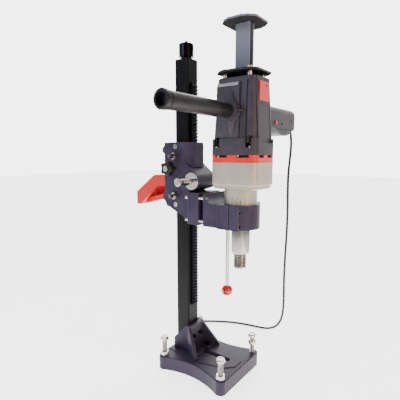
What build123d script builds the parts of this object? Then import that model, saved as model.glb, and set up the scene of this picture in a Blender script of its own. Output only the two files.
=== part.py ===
from build123d import *
from math import acos, cos, pi, radians, sin, sqrt, tan
import os

# Core drill rig: a toothed column on a cast base, a carriage that a pinion drives along it,
# and a three-shaft drill motor clamped to the carriage by its neck.
# Millimetres. +X points from the column to the drill, +Z is up, and the origin is on the
# underside of the base on the column's axis. The near side is -Y.

# ---------------------------------------------------------------- driving dimensions
RUN_GAP = 0.05            # radial clearance of a running fit
SEAT_GAP = 0.1            # radial clearance of a fixed fit
SKIN_GAP = 0.3            # clearance between faces of moving pieces

BASE_HEIGHT = 34.0
PAD_RISE = 1.5            # raised pad on the base
EAR_X = (-16.6, 155.7)    # levelling screws, rear and front
EAR_Y = 73.5
EAR_R = 14.0
WAIST_Y = 68.0            # half width of the base at its concave sides
SLOT_LENGTH = 86.0
SLOT_WIDTH = 15.0
SLOT_X = 91.0
POCKET_LENGTH = 78.0
POCKET_WIDTH = 30.0
POCKET_DEPTH = 22.0

LEVEL_R = 6.0             # M12 levelling screw
LEVEL_AF = 19.0
LEVEL_TOP = 84.0
LEVEL_HEAD = 8.0
NUT_HEIGHT = 10.0
RAISED_NUT_Z = 57.0       # the lock nut that is run up its screw

COLUMN_SIDE = 40.0
COLUMN_WALL = 3.0
COLUMN_CORNER = 4.0
COLUMN_TOP = 766.0
BRACKET_WALL = 9.0
BRACKET_TOP = 104.0
BRACKET_REAR_TOP = 62.0
WING_TIP = (69.0, 50.0)
WING_WALL = 8.0
FOOT_THICK = 4.0

JACK_R = 18.0
JACK_HEAD = 31.0
JACK_NECK_R = 13.0
JACK_NECK = 6.0
JACK_SHANK_R = 10.0
JACK_DEPTH = 66.0
JACK_POINT_R = 7.5
JACK_POINT = 9.5
JACK_HOLE_R = 5.0
PLUG_HEIGHT = 40.0

RACK_MODULE = 2.5
PINION_TEETH = 12
PRESSURE_ANGLE = 25.0
ADDENDUM = 0.75           # stub teeth, in modules
DEDENDUM = 1.0
BACKLASH = 0.25
RACK_WIDTH = 18.0
RACK_BOTTOM = 156.0
RACK_TOP = 711.0
RACK_PITCH_LINE = 7.5     # from the column's front face

PINION_Z = 479.0
PINION_WIDTH = 20.0
SHAFT_R = 9.5
SHAFT_NEAR_Y = -88.0
SHAFT_FAR_Y = 141.0
SHAFT_HOLE_R = 3.5
BEARING_R = 19.0
BEARING_WIDTH = 9.0

SIDE_Y = 35.0             # half width of the carriage
CARRIAGE_TOP = 571.0
CARRIAGE_REAR = -43.0
CHAMFER_X = 18.0
NOSE_X = 40.0
NOSE_Y = 16.0
BULGE_R = 22.0
STRIP_THICK = 3.6
STRIP_BOTTOM = 416.0
STRIP_TOP = 566.0
KNOB_X = -6.7
KNOB_Z = 508.7
KNOB_R = 18.0
KNOB_THICK = 17.0
KNOB_STANDOFF = 20.0
GIB_X = -9.0
GIB_Z = (441.0, 538.0)
PLUG_SCREW_Z = (418.5, 561.0)

BLOCK_REAR = 29.0
BLOCK_FLANGE = 37.0
BLOCK_FRONT = 70.0
BLOCK_Y = 45.0
BLOCK_BOTTOM = 376.5
BLOCK_TOP = 452.5
ARM_REAR = 84.0
BOLT_Y = 40.0
BOLT_Z = (387.0, 441.0)
SPACER_Y = 27.0
CLAMP_TOP = 431.0
CLAMP_R = 44.0
CLAMP_EAR_X = 23.0
CLAMP_EAR_Y = 51.0
CLAMP_SCREW_Y = 43.5
CLAMP_SPLIT = 1.0         # half of the gap between arm and cap
CLAMP_SCREW_Z = (388.0, 417.0)

MOTOR_X = 158.0           # spindle and armature axis
BODY_X = 161.0            # middle of the gearbox and motor housings
NECK_R = 37.5
NECK_BOTTOM = 377.0
GEARBOX_HALF = (57.0, 47.0)
GEARBOX_CORNER = 15.0
GEARBOX_WALL = 5.0
GEARBOX_BOTTOM = 466.0
GEARBOX_TOP = 524.0
TIER_HEIGHT = 8.0
TIER_INSET = 4.0
RING_TOP = 540.0
RING_BAND = 11.0
BAND_TOP = 575.0
HOUSING_TOP = 697.0
HOUSING_HALF = (54.0, 44.5)
CROWN_HALF = (47.5, 38.5)
HOUSING_WALL = 3.0
CAP_THICK = 6.0

SHAFT_CENTRES = 30.0      # spindle to countershaft
SPINDLE_TIP = 279.5
SPINDLE_SHOULDER = 317.0
THREAD_R = 15.875         # 1-1/4 inch
SPINDLE_AF = 41.0
SPINDLE_R = 17.5
SPINDLE_BORE_R = 5.0
SPINDLE_UPPER_R = 12.0
SPINDLE_STEP = 440.0
SPINDLE_TOP = 498.0

HANDLE_Z = 631.7
HANDLE_END_Y = -261.0
HANDLE_GRIP_Y = -100.0
HANDLE_GRIP_R = 16.0
HANDLE_NECK_R = 14.5
HANDLE_BORE_R = 12.0
HANDLE_BOSS_R = 21.0
HANDLE_BOSS_Y = -60.0

GRIP_END_Y = 252.0
GRIP_WIDTH = 42.0
GRIP_Z = (606.0, 659.0)
GRIP_WALL = 3.0
GRIP_X = 158.0

PLATE_Z = 713.0
PLATE_THICK = 4.0
POST_DEPTH = 34.0
POST_WIDTH = 19.0
POST_WALL = 3.0
POST_TOP = 816.0

LEVER_Y = 127.0
LEVER_BALL_Z = 158.0
LEVER_BALL_R = 16.5
LEVER_ROD_R = 6.0
HUB_R = 17.0
HUB_WIDTH = 20.0

CORD_R = 3.5
RELIEF_R = 6.5
LEAD_EXIT = (158.0, 252.0, 626.0)     # where the lead leaves the grip, and its heading there
LEAD_HEADING = (0.0, 12.0, -18.0)

# ---------------------------------------------------------------- values worked out from them
HALF = COLUMN_SIDE / 2
PAD_TOP = BASE_HEIGHT + PAD_RISE
BASE_MID = (EAR_X[0] + EAR_X[1]) / 2
EAR_HALF = (EAR_X[1] - EAR_X[0]) / 2
PINION_R = RACK_MODULE * PINION_TEETH / 2
PITCH_X = HALF + RACK_PITCH_LINE
PINION_X = PITCH_X + PINION_R
RACK_TIP = PITCH_X + ADDENDUM * RACK_MODULE
RACK_ROOT = PITCH_X - DEDENDUM * RACK_MODULE
CHANNEL = HALF + SKIN_GAP + STRIP_THICK       # half width of the carriage's square bore
RACK_CHANNEL_X = RACK_TIP + 1.6
RACK_CHANNEL_Y = RACK_WIDTH / 2 + 2.0
CLAMP_BORE_R = NECK_R + SEAT_GAP
COUNTER_X = MOTOR_X + SHAFT_CENTRES
SPLIT_FRONT = MOTOR_X + CLAMP_SPLIT
SPLIT_REAR = MOTOR_X - CLAMP_SPLIT
EAR_FRONT = MOTOR_X + CLAMP_EAR_X

os.makedirs("parts", exist_ok=True)


def keep(builder, name):
    """Label a finished piece and write it to its own file."""
    builder.part.label = name
    export_step(builder.part, f"parts/{name}.step")


def involute(angle):
    return tan(angle) - angle


def gear_points(teeth, module, first_tooth=0.0):
    """Outline of a spur gear with stub involute teeth; a tooth is centred on first_tooth degrees."""
    pitch_r = teeth * module / 2
    base_r = pitch_r * cos(radians(PRESSURE_ANGLE))
    tip_r = pitch_r + ADDENDUM * module
    root_r = pitch_r - DEDENDUM * module
    half_pitch = (pi * module / 2 - BACKLASH / 2) / (2 * pitch_r) + involute(radians(PRESSURE_ANGLE))
    low_r = max(base_r, root_r)
    radii = [low_r + (tip_r - low_r) * step / 3 for step in range(4)]
    flank = [(r, half_pitch - involute(acos(min(1.0, base_r / r)))) for r in radii]
    if root_r < base_r:
        flank.insert(0, (root_r, flank[0][1]))
    points = []
    for tooth in range(teeth):
        middle = radians(first_tooth) + 2 * pi * tooth / teeth
        for r, half in flank:
            points.append((r * cos(middle - half), r * sin(middle - half)))
        for r, half in reversed(flank):
            points.append((r * cos(middle + half), r * sin(middle + half)))
    return points


def gear_blank(teeth, module, width, bore_r, first_tooth=0.0):
    """A spur gear standing on its plane's origin, with a round bore."""
    with BuildPart(mode=Mode.PRIVATE) as blank:
        with BuildSketch():
            with BuildLine():
                Polyline(*gear_points(teeth, module, first_tooth), close=True)
            make_face()
            Circle(bore_r, mode=Mode.SUBTRACT)
        extrude(amount=width)
    return blank.part


def ring(outer_r, inner_r, width):
    """A plain ring standing on its plane's origin."""
    with BuildPart(mode=Mode.PRIVATE) as hoop:
        with BuildSketch():
            Circle(outer_r)
            Circle(inner_r, mode=Mode.SUBTRACT)
        extrude(amount=width)
    return hoop.part


def socket_screw(shank_r, length, head_r, head_height, key_r):
    """A socket head screw: its head stands on the origin along +Z and its shank runs down."""
    with BuildPart(mode=Mode.PRIVATE) as screw:
        Cylinder(head_r, head_height, align=(Align.CENTER, Align.CENTER, Align.MIN))
        Cylinder(shank_r, length, align=(Align.CENTER, Align.CENTER, Align.MAX))
        with BuildSketch(Plane.XY.offset(head_height)):
            RegularPolygon(key_r, 6)
        extrude(amount=-head_height * 0.6, mode=Mode.SUBTRACT)
    return screw.part


def hex_nut(across_flats, bore_r, height):
    """A hexagon nut standing on its plane's origin, with its top corners turned off."""
    with BuildPart(mode=Mode.PRIVATE) as nut:
        with BuildSketch():
            RegularPolygon(across_flats / 2, 6, major_radius=False)
            if bore_r:
                Circle(bore_r, mode=Mode.SUBTRACT)
        extrude(amount=height)
        with BuildSketch():
            Circle(across_flats / sqrt(3) - 0.9)
        extrude(amount=height, taper=-20, mode=Mode.INTERSECT)
    return nut.part


def notched_plate(half_x, half_y, corner, notch):
    """Sketch of an octagonal plate with a square notch beside each cut corner."""
    with BuildSketch(mode=Mode.PRIVATE) as plate:
        Rectangle(2 * half_x, 2 * half_y)
        chamfer(plate.vertices(), corner)
        with GridLocations(2 * (half_x - corner), 2 * half_y, 2, 2):
            Rectangle(notch, notch, mode=Mode.SUBTRACT)
    return plate.sketch


def rounded(half, inset=0.0, corner=GEARBOX_CORNER):
    """Sketch of a rounded rectangle with the given half sizes, drawn in by inset."""
    with BuildSketch(mode=Mode.PRIVATE) as face:
        RectangleRounded(2 * (half[0] - inset), 2 * (half[1] - inset), max(corner - inset, 2.0))
    return face.sketch


# ================================================================ stand
with BuildPart() as base_casting:
    waist_drop = EAR_Y - WAIST_Y
    side_r = (EAR_HALF**2 + waist_drop**2 - EAR_R**2) / (2 * (EAR_R + waist_drop))
    with BuildSketch():
        with Locations((BASE_MID, 0)):
            RectangleRounded(2 * (EAR_HALF + EAR_R), 2 * (EAR_Y + EAR_R), EAR_R)
            with Locations((0, WAIST_Y + side_r), (0, -WAIST_Y - side_r)):
                Circle(side_r, mode=Mode.SUBTRACT)
    extrude(amount=BASE_HEIGHT)
    fillet(base_casting.faces().sort_by(Axis.Z)[-1].edges(), 2.0)
    with BuildSketch(Plane.XY.offset(BASE_HEIGHT)):
        with BuildLine():
            Polyline((-26, -46), (72, -53), (141, -33), (158, -14), (158, 14), (141, 33), (72, 53),
                     (-26, 46), close=True)
        make_face()
    extrude(amount=PAD_RISE)
    with BuildSketch(Plane.XY.offset(PAD_TOP)):
        with Locations((SLOT_X, 0)):
            SlotOverall(SLOT_LENGTH, SLOT_WIDTH)
    extrude(amount=-PAD_TOP, mode=Mode.SUBTRACT)
    with BuildSketch():
        with Locations((SLOT_X, 0)):
            with GridLocations(1, 2 * (SLOT_WIDTH / 2 + 12 + POCKET_WIDTH / 2), 1, 2):
                RectangleRounded(POCKET_LENGTH, POCKET_WIDTH, 6)
    extrude(amount=POCKET_DEPTH, mode=Mode.SUBTRACT)
    with Locations(*[(x, y, BASE_HEIGHT) for x in EAR_X for y in (-EAR_Y, EAR_Y)]):
        Hole(LEVEL_R + RUN_GAP)
    with Locations((47, 26, PAD_TOP), (47, -26, PAD_TOP)):
        Hole(3 + SEAT_GAP, depth=16)
keep(base_casting, "base_casting")

wing_root = (24.0, HALF + BRACKET_WALL - WING_WALL / 2)
wing_run = sqrt((WING_TIP[0] - wing_root[0]) ** 2 + (WING_TIP[1] - wing_root[1]) ** 2)
wing_along = Vector(WING_TIP[0] - wing_root[0], wing_root[1] - WING_TIP[1], 0).normalized()
wing_plane = Plane(origin=(wing_root[0], -wing_root[1], 0), x_dir=wing_along,
                   z_dir=wing_along.cross(Vector(0, 0, 1)))
with BuildPart() as column_bracket:
    with BuildSketch(Plane.XZ.offset(HALF)):
        with BuildLine():
            Polyline((-22, PAD_TOP), (HALF + 11, PAD_TOP), (HALF + 11, BRACKET_TOP), (HALF, BRACKET_TOP),
                     (-22, BRACKET_REAR_TOP), close=True)
        make_face()
    extrude(amount=BRACKET_WALL)
    with BuildSketch(wing_plane):
        with BuildLine():
            Polyline((-2, PAD_TOP), (wing_run, PAD_TOP), (wing_run, PAD_TOP + 4), (4, BRACKET_TOP),
                     (-2, BRACKET_TOP), close=True)
        make_face()
    extrude(amount=WING_WALL / 2, both=True)
    mirror(about=Plane.XZ)
    with Locations((HALF + 5.5, 0, (PAD_TOP + BRACKET_TOP) / 2)):
        Box(11, 2 * HALF + 2, BRACKET_TOP - PAD_TOP)
    with BuildSketch(Plane.XY.offset(PAD_TOP)):
        with BuildLine():
            Polyline((HALF + 10, -28), (62, -44), (62, 44), (HALF + 10, 28), close=True)
        make_face()
        with Locations((SLOT_X, 0)):
            SlotOverall(SLOT_LENGTH + 5, SLOT_WIDTH + 5, mode=Mode.SUBTRACT)
    extrude(amount=FOOT_THICK)
    with Locations((47, 26, PAD_TOP + FOOT_THICK), (47, -26, PAD_TOP + FOOT_THICK)):
        Hole(3 + SEAT_GAP, depth=FOOT_THICK)
    with Locations(Plane((HALF + 11, 14, 74), z_dir=(1, 0, 0)), Plane((HALF + 11, -14, 74), z_dir=(1, 0, 0))):
        Hole(3 + SEAT_GAP, depth=11)
keep(column_bracket, "column_bracket")

foot_screw = socket_screw(3, 18, 5, 5, 2.5)
with BuildPart() as bracket_screws:
    with Locations((47, 26, PAD_TOP + FOOT_THICK), (47, -26, PAD_TOP + FOOT_THICK)):
        add(foot_screw)
    for side_y in (14, -14):
        with Locations(Plane((HALF + 11, side_y, 74), z_dir=(1, 0, 0))):
            add(foot_screw)
keep(bracket_screws, "bracket_screws")

with BuildPart() as column_tube:
    with BuildSketch(Plane.XY.offset(PAD_TOP)):
        RectangleRounded(COLUMN_SIDE, COLUMN_SIDE, COLUMN_CORNER)
        RectangleRounded(COLUMN_SIDE - 2 * COLUMN_WALL, COLUMN_SIDE - 2 * COLUMN_WALL, 1.5, mode=Mode.SUBTRACT)
    extrude(amount=COLUMN_TOP - PAD_TOP)
    with Locations(Plane((HALF, 14, 74), z_dir=(1, 0, 0)), Plane((HALF, -14, 74), z_dir=(1, 0, 0))):
        Hole(3 + SEAT_GAP, depth=COLUMN_WALL + 8)
keep(column_tube, "column_tube")

# The rack has a gap opposite the pinion's axis, so that the pinion is in mesh at rest.
rack_pitch = pi * RACK_MODULE
half_tooth = rack_pitch / 4 - BACKLASH / 4
flank_run = tan(radians(PRESSURE_ANGLE)) * RACK_MODULE
tip_half = half_tooth - flank_run * ADDENDUM
root_half = half_tooth + flank_run * DEDENDUM
with BuildPart() as rack:
    first = int((RACK_BOTTOM - PINION_Z) / rack_pitch) - 1
    last = int((RACK_TOP - PINION_Z) / rack_pitch) + 1
    rack_points = [(HALF, RACK_BOTTOM), (RACK_ROOT, RACK_BOTTOM)]
    for index in range(first, last):
        tooth_z = PINION_Z + (index + 0.5) * rack_pitch
        if RACK_BOTTOM < tooth_z - root_half and tooth_z + root_half < RACK_TOP:
            rack_points += [(RACK_ROOT, tooth_z - root_half), (RACK_TIP, tooth_z - tip_half),
                            (RACK_TIP, tooth_z + tip_half), (RACK_ROOT, tooth_z + root_half)]
    rack_points += [(RACK_ROOT, RACK_TOP), (HALF, RACK_TOP)]
    with BuildSketch(Plane.XZ):
        with BuildLine():
            Polyline(*rack_points, close=True)
        make_face()
    extrude(amount=RACK_WIDTH / 2, both=True)
keep(rack, "rack")

with BuildPart() as column_plug:
    plug_side = COLUMN_SIDE - 2 * COLUMN_WALL - 2 * SEAT_GAP
    with BuildSketch(Plane.XY.offset(COLUMN_TOP - PLUG_HEIGHT)):
        RectangleRounded(plug_side, plug_side, 1.5)
        Circle(JACK_SHANK_R + RUN_GAP, mode=Mode.SUBTRACT)
    extrude(amount=PLUG_HEIGHT)
keep(column_plug, "column_plug")

neck_z = COLUMN_TOP + SKIN_GAP
head_z = neck_z + JACK_NECK
head_top = head_z + JACK_HEAD
with BuildPart() as jack_screw:
    with BuildSketch(Plane.XZ):
        with BuildLine():
            Polyline((0, COLUMN_TOP - JACK_DEPTH), (JACK_SHANK_R - 2, COLUMN_TOP - JACK_DEPTH),
                     (JACK_SHANK_R, COLUMN_TOP - JACK_DEPTH + 2), (JACK_SHANK_R, neck_z),
                     (JACK_NECK_R, neck_z), (JACK_NECK_R, head_z), (JACK_R - 1, head_z), (JACK_R, head_z + 1),
                     (JACK_R, head_top - 1.5), (JACK_R - 1.5, head_top), (JACK_POINT_R, head_top),
                     (0, head_top + JACK_POINT), close=True)
        make_face()
    revolve(axis=Axis.Z)
    with Locations(Plane((0, 0, head_z + JACK_HEAD * 0.62), z_dir=(1, 0, 0))):
        Cylinder(JACK_HOLE_R, 2 * JACK_R + 2, mode=Mode.SUBTRACT)
keep(jack_screw, "jack_screw")

level_nut = hex_nut(LEVEL_AF, LEVEL_R + RUN_GAP, NUT_HEIGHT)
level_names = ("rear_near", "rear_far", "front_near", "front_far")
level_places = [(x, y) for x in EAR_X for y in (-EAR_Y, EAR_Y)]
for level_name, (level_x, level_y) in zip(level_names, level_places):
    with BuildPart() as level_screw:
        with BuildSketch(Plane((level_x, level_y, SKIN_GAP))):
            Circle(LEVEL_R)
        extrude(amount=LEVEL_TOP - LEVEL_HEAD - SKIN_GAP)
        with Locations((level_x, level_y, LEVEL_TOP - LEVEL_HEAD)):
            add(hex_nut(LEVEL_AF, 0, LEVEL_HEAD))
        if level_name == "front_far":
            with Locations((level_x, level_y, RAISED_NUT_Z)):
                add(level_nut)
    keep(level_screw, f"level_screw_{level_name}")
with BuildPart() as lock_nuts:
    with Locations(*[(x, y, BASE_HEIGHT) for x, y in level_places[:3]]):
        add(level_nut)
keep(lock_nuts, "level_lock_nuts")

# ================================================================ carriage
with BuildPart() as carriage_casting:
    with BuildSketch(Plane.XZ):
        with BuildLine():
            Polyline((BLOCK_REAR, BLOCK_TOP), (BLOCK_REAR, 385.5), (-9.8, 402.5), (-28, 412), (-36.5, 413.4),
                     (CARRIAGE_REAR, 426), (-50, 431), (-50, 443), (CARRIAGE_REAR, 451), (CARRIAGE_REAR, 543),
                     (-50, 549), (-50, 557), (CARRIAGE_REAR, 565), (CARRIAGE_REAR, CARRIAGE_TOP),
                     (CHAMFER_X, CARRIAGE_TOP), (CHAMFER_X, 526.5), (PINION_X + BULGE_R * 0.62, 496.3))
            ThreePointArc((PINION_X + BULGE_R * 0.62, 496.3), (PINION_X + BULGE_R, PINION_Z),
                          (PINION_X + BULGE_R * 0.62, 461.7))
            Line((PINION_X + BULGE_R * 0.62, 461.7), (BLOCK_REAR, BLOCK_TOP))
        make_face()
    extrude(amount=SIDE_Y, both=True)
    with BuildSketch(Plane.XY.offset(512)):
        with BuildLine():
            Polyline((0, -SIDE_Y), (CHAMFER_X, -SIDE_Y), (NOSE_X, -NOSE_Y), (NOSE_X, NOSE_Y),
                     (CHAMFER_X, SIDE_Y), (0, SIDE_Y), close=True)
        make_face()
    extrude(amount=CARRIAGE_TOP - 512)
    with Locations((0, 0, (CARRIAGE_TOP + 370) / 2)):
        Box(2 * CHANNEL, 2 * CHANNEL, CARRIAGE_TOP - 360, mode=Mode.SUBTRACT)
    with Locations((RACK_CHANNEL_X / 2, 0, (CARRIAGE_TOP + 370) / 2)):
        Box(RACK_CHANNEL_X, 2 * RACK_CHANNEL_Y, CARRIAGE_TOP - 360, mode=Mode.SUBTRACT)
    with Locations(Plane((PINION_X, 0, PINION_Z), z_dir=(0, 1, 0))):
        Cylinder(PINION_R + 4, PINION_WIDTH + 2, mode=Mode.SUBTRACT)
        Cylinder(SHAFT_R + 1.5, 2 * SIDE_Y + 2, mode=Mode.SUBTRACT)
    for side in (-1, 1):
        with Locations(Plane((PINION_X, side * (SIDE_Y - BEARING_WIDTH / 2), PINION_Z), z_dir=(0, 1, 0))):
            Cylinder(BEARING_R + SEAT_GAP, BEARING_WIDTH + SEAT_GAP, mode=Mode.SUBTRACT)
    with Locations(Plane((KNOB_X, -SIDE_Y, KNOB_Z), z_dir=(0, -1, 0))):
        Hole(4 + RUN_GAP, depth=SIDE_Y - HALF - 1)
    for gib_z in GIB_Z:
        with Locations(Plane((GIB_X, -SIDE_Y, gib_z), z_dir=(0, -1, 0))):
            Hole(5 + SEAT_GAP, depth=SIDE_Y - HALF - 1)
    for plug_z in PLUG_SCREW_Z:
        with Locations(Plane((GIB_X, -SIDE_Y, plug_z), z_dir=(0, -1, 0))):
            CounterBoreHole(3 + SEAT_GAP, 6 + SEAT_GAP, 5, depth=SIDE_Y - HALF - 1)
keep(carriage_casting, "carriage_casting")

strip_z = (STRIP_BOTTOM + STRIP_TOP) / 2
strip_height = STRIP_TOP - STRIP_BOTTOM
strip_mid = HALF + SKIN_GAP + STRIP_THICK / 2
with BuildPart() as guide_strips:
    with Locations((0, strip_mid, strip_z), (0, -strip_mid, strip_z)):
        Box(30, STRIP_THICK, strip_height)
    with Locations((-strip_mid, 0, strip_z)):
        Box(STRIP_THICK, 30, strip_height)
    front_y = (RACK_CHANNEL_Y + HALF) / 2
    with Locations((strip_mid, front_y, strip_z), (strip_mid, -front_y, strip_z)):
        Box(STRIP_THICK, HALF - RACK_CHANNEL_Y - 2, strip_height)
keep(guide_strips, "guide_strips")

with BuildPart() as guide_screws:
    for gib_z in GIB_Z:
        with BuildSketch(Plane((GIB_X, -CHANNEL, gib_z), z_dir=(0, -1, 0))):
            Circle(5)
        extrude(amount=56 - CHANNEL)
        with Locations(Plane((GIB_X, -SIDE_Y, gib_z), z_dir=(0, -1, 0))):
            add(hex_nut(16, 5 + RUN_GAP, 8))
    for plug_z in PLUG_SCREW_Z:
        with Locations(Plane((GIB_X, -SIDE_Y + 5, plug_z), z_dir=(0, -1, 0))):
            add(socket_screw(3, SIDE_Y - 5 - CHANNEL, 5.8, 4.5, 2.8))
keep(guide_screws, "guide_screws")

bearing_shell = ring(BEARING_R, SHAFT_R + 4.5, BEARING_WIDTH)
clip_shell = ring(BEARING_R + 1.5, BEARING_R - 2.5, 1.5)
race_shell = ring(SHAFT_R + 4.2, SHAFT_R + RUN_GAP, BEARING_WIDTH)
with BuildPart() as pinion_bearings:
    for side in (-1, 1):
        with Locations(Plane((PINION_X, side * SIDE_Y, PINION_Z), z_dir=(0, -side, 0))):
            add(bearing_shell)
            add(race_shell)
        with Locations(Plane((PINION_X, side * SIDE_Y, PINION_Z), z_dir=(0, side, 0))):
            add(clip_shell)
keep(pinion_bearings, "pinion_bearings")

with BuildPart() as pinion_shaft:
    with Locations(Plane((PINION_X, SHAFT_NEAR_Y, PINION_Z), z_dir=(0, 1, 0))):
        Cylinder(SHAFT_R, SHAFT_FAR_Y - SHAFT_NEAR_Y, align=(Align.CENTER, Align.CENTER, Align.MIN))
    chamfer(pinion_shaft.edges().filter_by(GeomType.CIRCLE), 1.2)
    with Locations(Plane((PINION_X, SHAFT_NEAR_Y + 10, PINION_Z), z_dir=(1, 0, 0))):
        Cylinder(SHAFT_HOLE_R, 2 * SHAFT_R + 2, mode=Mode.SUBTRACT)
    for collar_y in (SIDE_Y + 8, LEVER_Y + HUB_WIDTH / 2 + SKIN_GAP):
        with Locations(Plane((PINION_X, collar_y, PINION_Z), z_dir=(0, 1, 0))):
            Cylinder(SHAFT_R + 3.5, 3, align=(Align.CENTER, Align.CENTER, Align.MIN))
keep(pinion_shaft, "pinion_shaft")
with BuildPart() as pinion_gear:
    with BuildSketch(Plane((PINION_X, PINION_WIDTH / 2, PINION_Z), x_dir=(1, 0, 0), z_dir=(0, -1, 0))):
        with BuildLine():
            Polyline(*gear_points(PINION_TEETH, RACK_MODULE, 180.0), close=True)
        make_face()
        Circle(SHAFT_R, mode=Mode.SUBTRACT)
    extrude(amount=PINION_WIDTH)
keep(pinion_gear, "pinion_gear")

with BuildPart() as lock_knob:
    with BuildSketch(Plane((KNOB_X, -SIDE_Y - KNOB_STANDOFF, KNOB_Z), z_dir=(0, -1, 0))):
        Circle(KNOB_R - 4)
        with PolarLocations(KNOB_R - 5.5, 5, start_angle=90):
            Circle(5.5)
        Circle(4, mode=Mode.SUBTRACT)
    extrude(amount=KNOB_THICK)
    fillet(lock_knob.faces().sort_by(Axis.Y)[0].outer_wire().edges(), 1.5)
keep(lock_knob, "lock_knob")
with BuildPart() as knob_screw:
    with Locations(Plane((KNOB_X, -HALF - STRIP_THICK - 1, KNOB_Z), z_dir=(0, -1, 0))):
        Cylinder(4, SIDE_Y + KNOB_STANDOFF + KNOB_THICK - HALF - STRIP_THICK - 1,
                 align=(Align.CENTER, Align.CENTER, Align.MIN))
    with Locations(Plane((KNOB_X, -SIDE_Y - KNOB_STANDOFF - KNOB_THICK, KNOB_Z), z_dir=(0, -1, 0))):
        Cylinder(7, 1.5, align=(Align.CENTER, Align.CENTER, Align.MIN))
keep(knob_screw, "knob_screw")

# Feed lever: hub, rod and ball, hanging from the far end of the pinion shaft.
socket_top = PINION_Z - SHAFT_R - 1.5
with BuildPart() as feed_lever:
    with Locations(Plane((PINION_X, LEVER_Y, PINION_Z), z_dir=(0, 1, 0))):
        Cylinder(HUB_R, HUB_WIDTH)
    with Locations((PINION_X, LEVER_Y, socket_top)):
        Cylinder(8.5, HUB_R - SHAFT_R + 6, align=(Align.CENTER, Align.CENTER, Align.MAX))
        Cylinder(LEVER_ROD_R, socket_top - LEVER_BALL_Z, align=(Align.CENTER, Align.CENTER, Align.MAX))
    with Locations(Plane((PINION_X, LEVER_Y, PINION_Z), z_dir=(0, 1, 0))):
        Cylinder(SHAFT_R + RUN_GAP, HUB_WIDTH + 2, mode=Mode.SUBTRACT)
keep(feed_lever, "feed_lever")
with BuildPart() as lever_ball:
    with Locations((PINION_X, LEVER_Y, LEVER_BALL_Z)):
        Sphere(LEVER_BALL_R)
        Cylinder(LEVER_ROD_R, 2 * LEVER_BALL_R, align=(Align.CENTER, Align.CENTER, Align.MIN),
                 mode=Mode.SUBTRACT)
keep(lever_ball, "lever_ball")
# Rear handle: two side plates, a cross bar and a stay, screwed to the back of the carriage.
with BuildPart() as rear_handle:
    for start_y in (-34, 24):
        with BuildSketch(Plane.XZ.offset(-start_y - 10)):
            with BuildLine():
                Polyline((CARRIAGE_REAR, 492), (-82, 490), (-147, 444), (-147, 410), (-133, 410), (-74, 462),
                         (CARRIAGE_REAR, 464), close=True)
            make_face()
        extrude(amount=10)
    with BuildSketch(Plane.XZ):
        with BuildLine():
            Polyline((-147, 444), (-147, 410), (-133, 410), (-120, 421.5), (-120, 440), (-131, 448), close=True)
        make_face()
    extrude(amount=34, both=True)
    with BuildSketch(Plane.XZ):
        with BuildLine():
            Polyline((-140, 410), (-50, 431), (-50, 443), (-140, 424), close=True)
        make_face()
    extrude(amount=18, both=True)
keep(rear_handle, "rear_handle")

with BuildPart() as mount_block:
    with BuildSketch(Plane.XY.offset(BLOCK_BOTTOM)):
        with BuildLine():
            Polyline((BLOCK_REAR, -SIDE_Y), (BLOCK_FLANGE, -SIDE_Y), (BLOCK_FLANGE, -BLOCK_Y),
                     (BLOCK_FRONT, -BLOCK_Y), (BLOCK_FRONT, BLOCK_Y), (BLOCK_FLANGE, BLOCK_Y),
                     (BLOCK_FLANGE, SIDE_Y), (BLOCK_REAR, SIDE_Y), close=True)
        make_face()
        with Locations((RACK_CHANNEL_X / 2, 0)):
            Rectangle(RACK_CHANNEL_X, 2 * RACK_CHANNEL_Y, mode=Mode.SUBTRACT)
    extrude(amount=BLOCK_TOP - BLOCK_BOTTOM)
    for bolt_y in (-BOLT_Y, BOLT_Y):
        for bolt_z in BOLT_Z:
            with Locations(Plane((BLOCK_FRONT, bolt_y, bolt_z), z_dir=(1, 0, 0))):
                Hole(4 + SEAT_GAP, depth=BLOCK_FRONT - BLOCK_FLANGE)
    fillet(mount_block.edges().filter_by(Axis.Z).filter_by_position(Axis.X, BLOCK_FLANGE - 1, BLOCK_FRONT + 1)
           .filter_by_position(Axis.Y, -BLOCK_Y - 1, -BLOCK_Y + 1), 2)
keep(mount_block, "mount_block")
with BuildPart() as spacer_plate:
    with Locations(((BLOCK_FRONT + ARM_REAR) / 2, 0, (BLOCK_BOTTOM + BLOCK_TOP) / 2)):
        Box(ARM_REAR - BLOCK_FRONT, 2 * SPACER_Y, BLOCK_TOP - BLOCK_BOTTOM - 6)
keep(spacer_plate, "spacer_plate")
with BuildPart() as mount_bolts:
    for bolt_y in (-BOLT_Y, BOLT_Y):
        for bolt_z in BOLT_Z:
            with Locations(Plane((BLOCK_FLANGE, bolt_y, bolt_z), z_dir=(-1, 0, 0))):
                add(socket_screw(4, ARM_REAR - BLOCK_FLANGE + 10, 4.8, 7, 2.8))
keep(mount_bolts, "mount_bolts")

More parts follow.
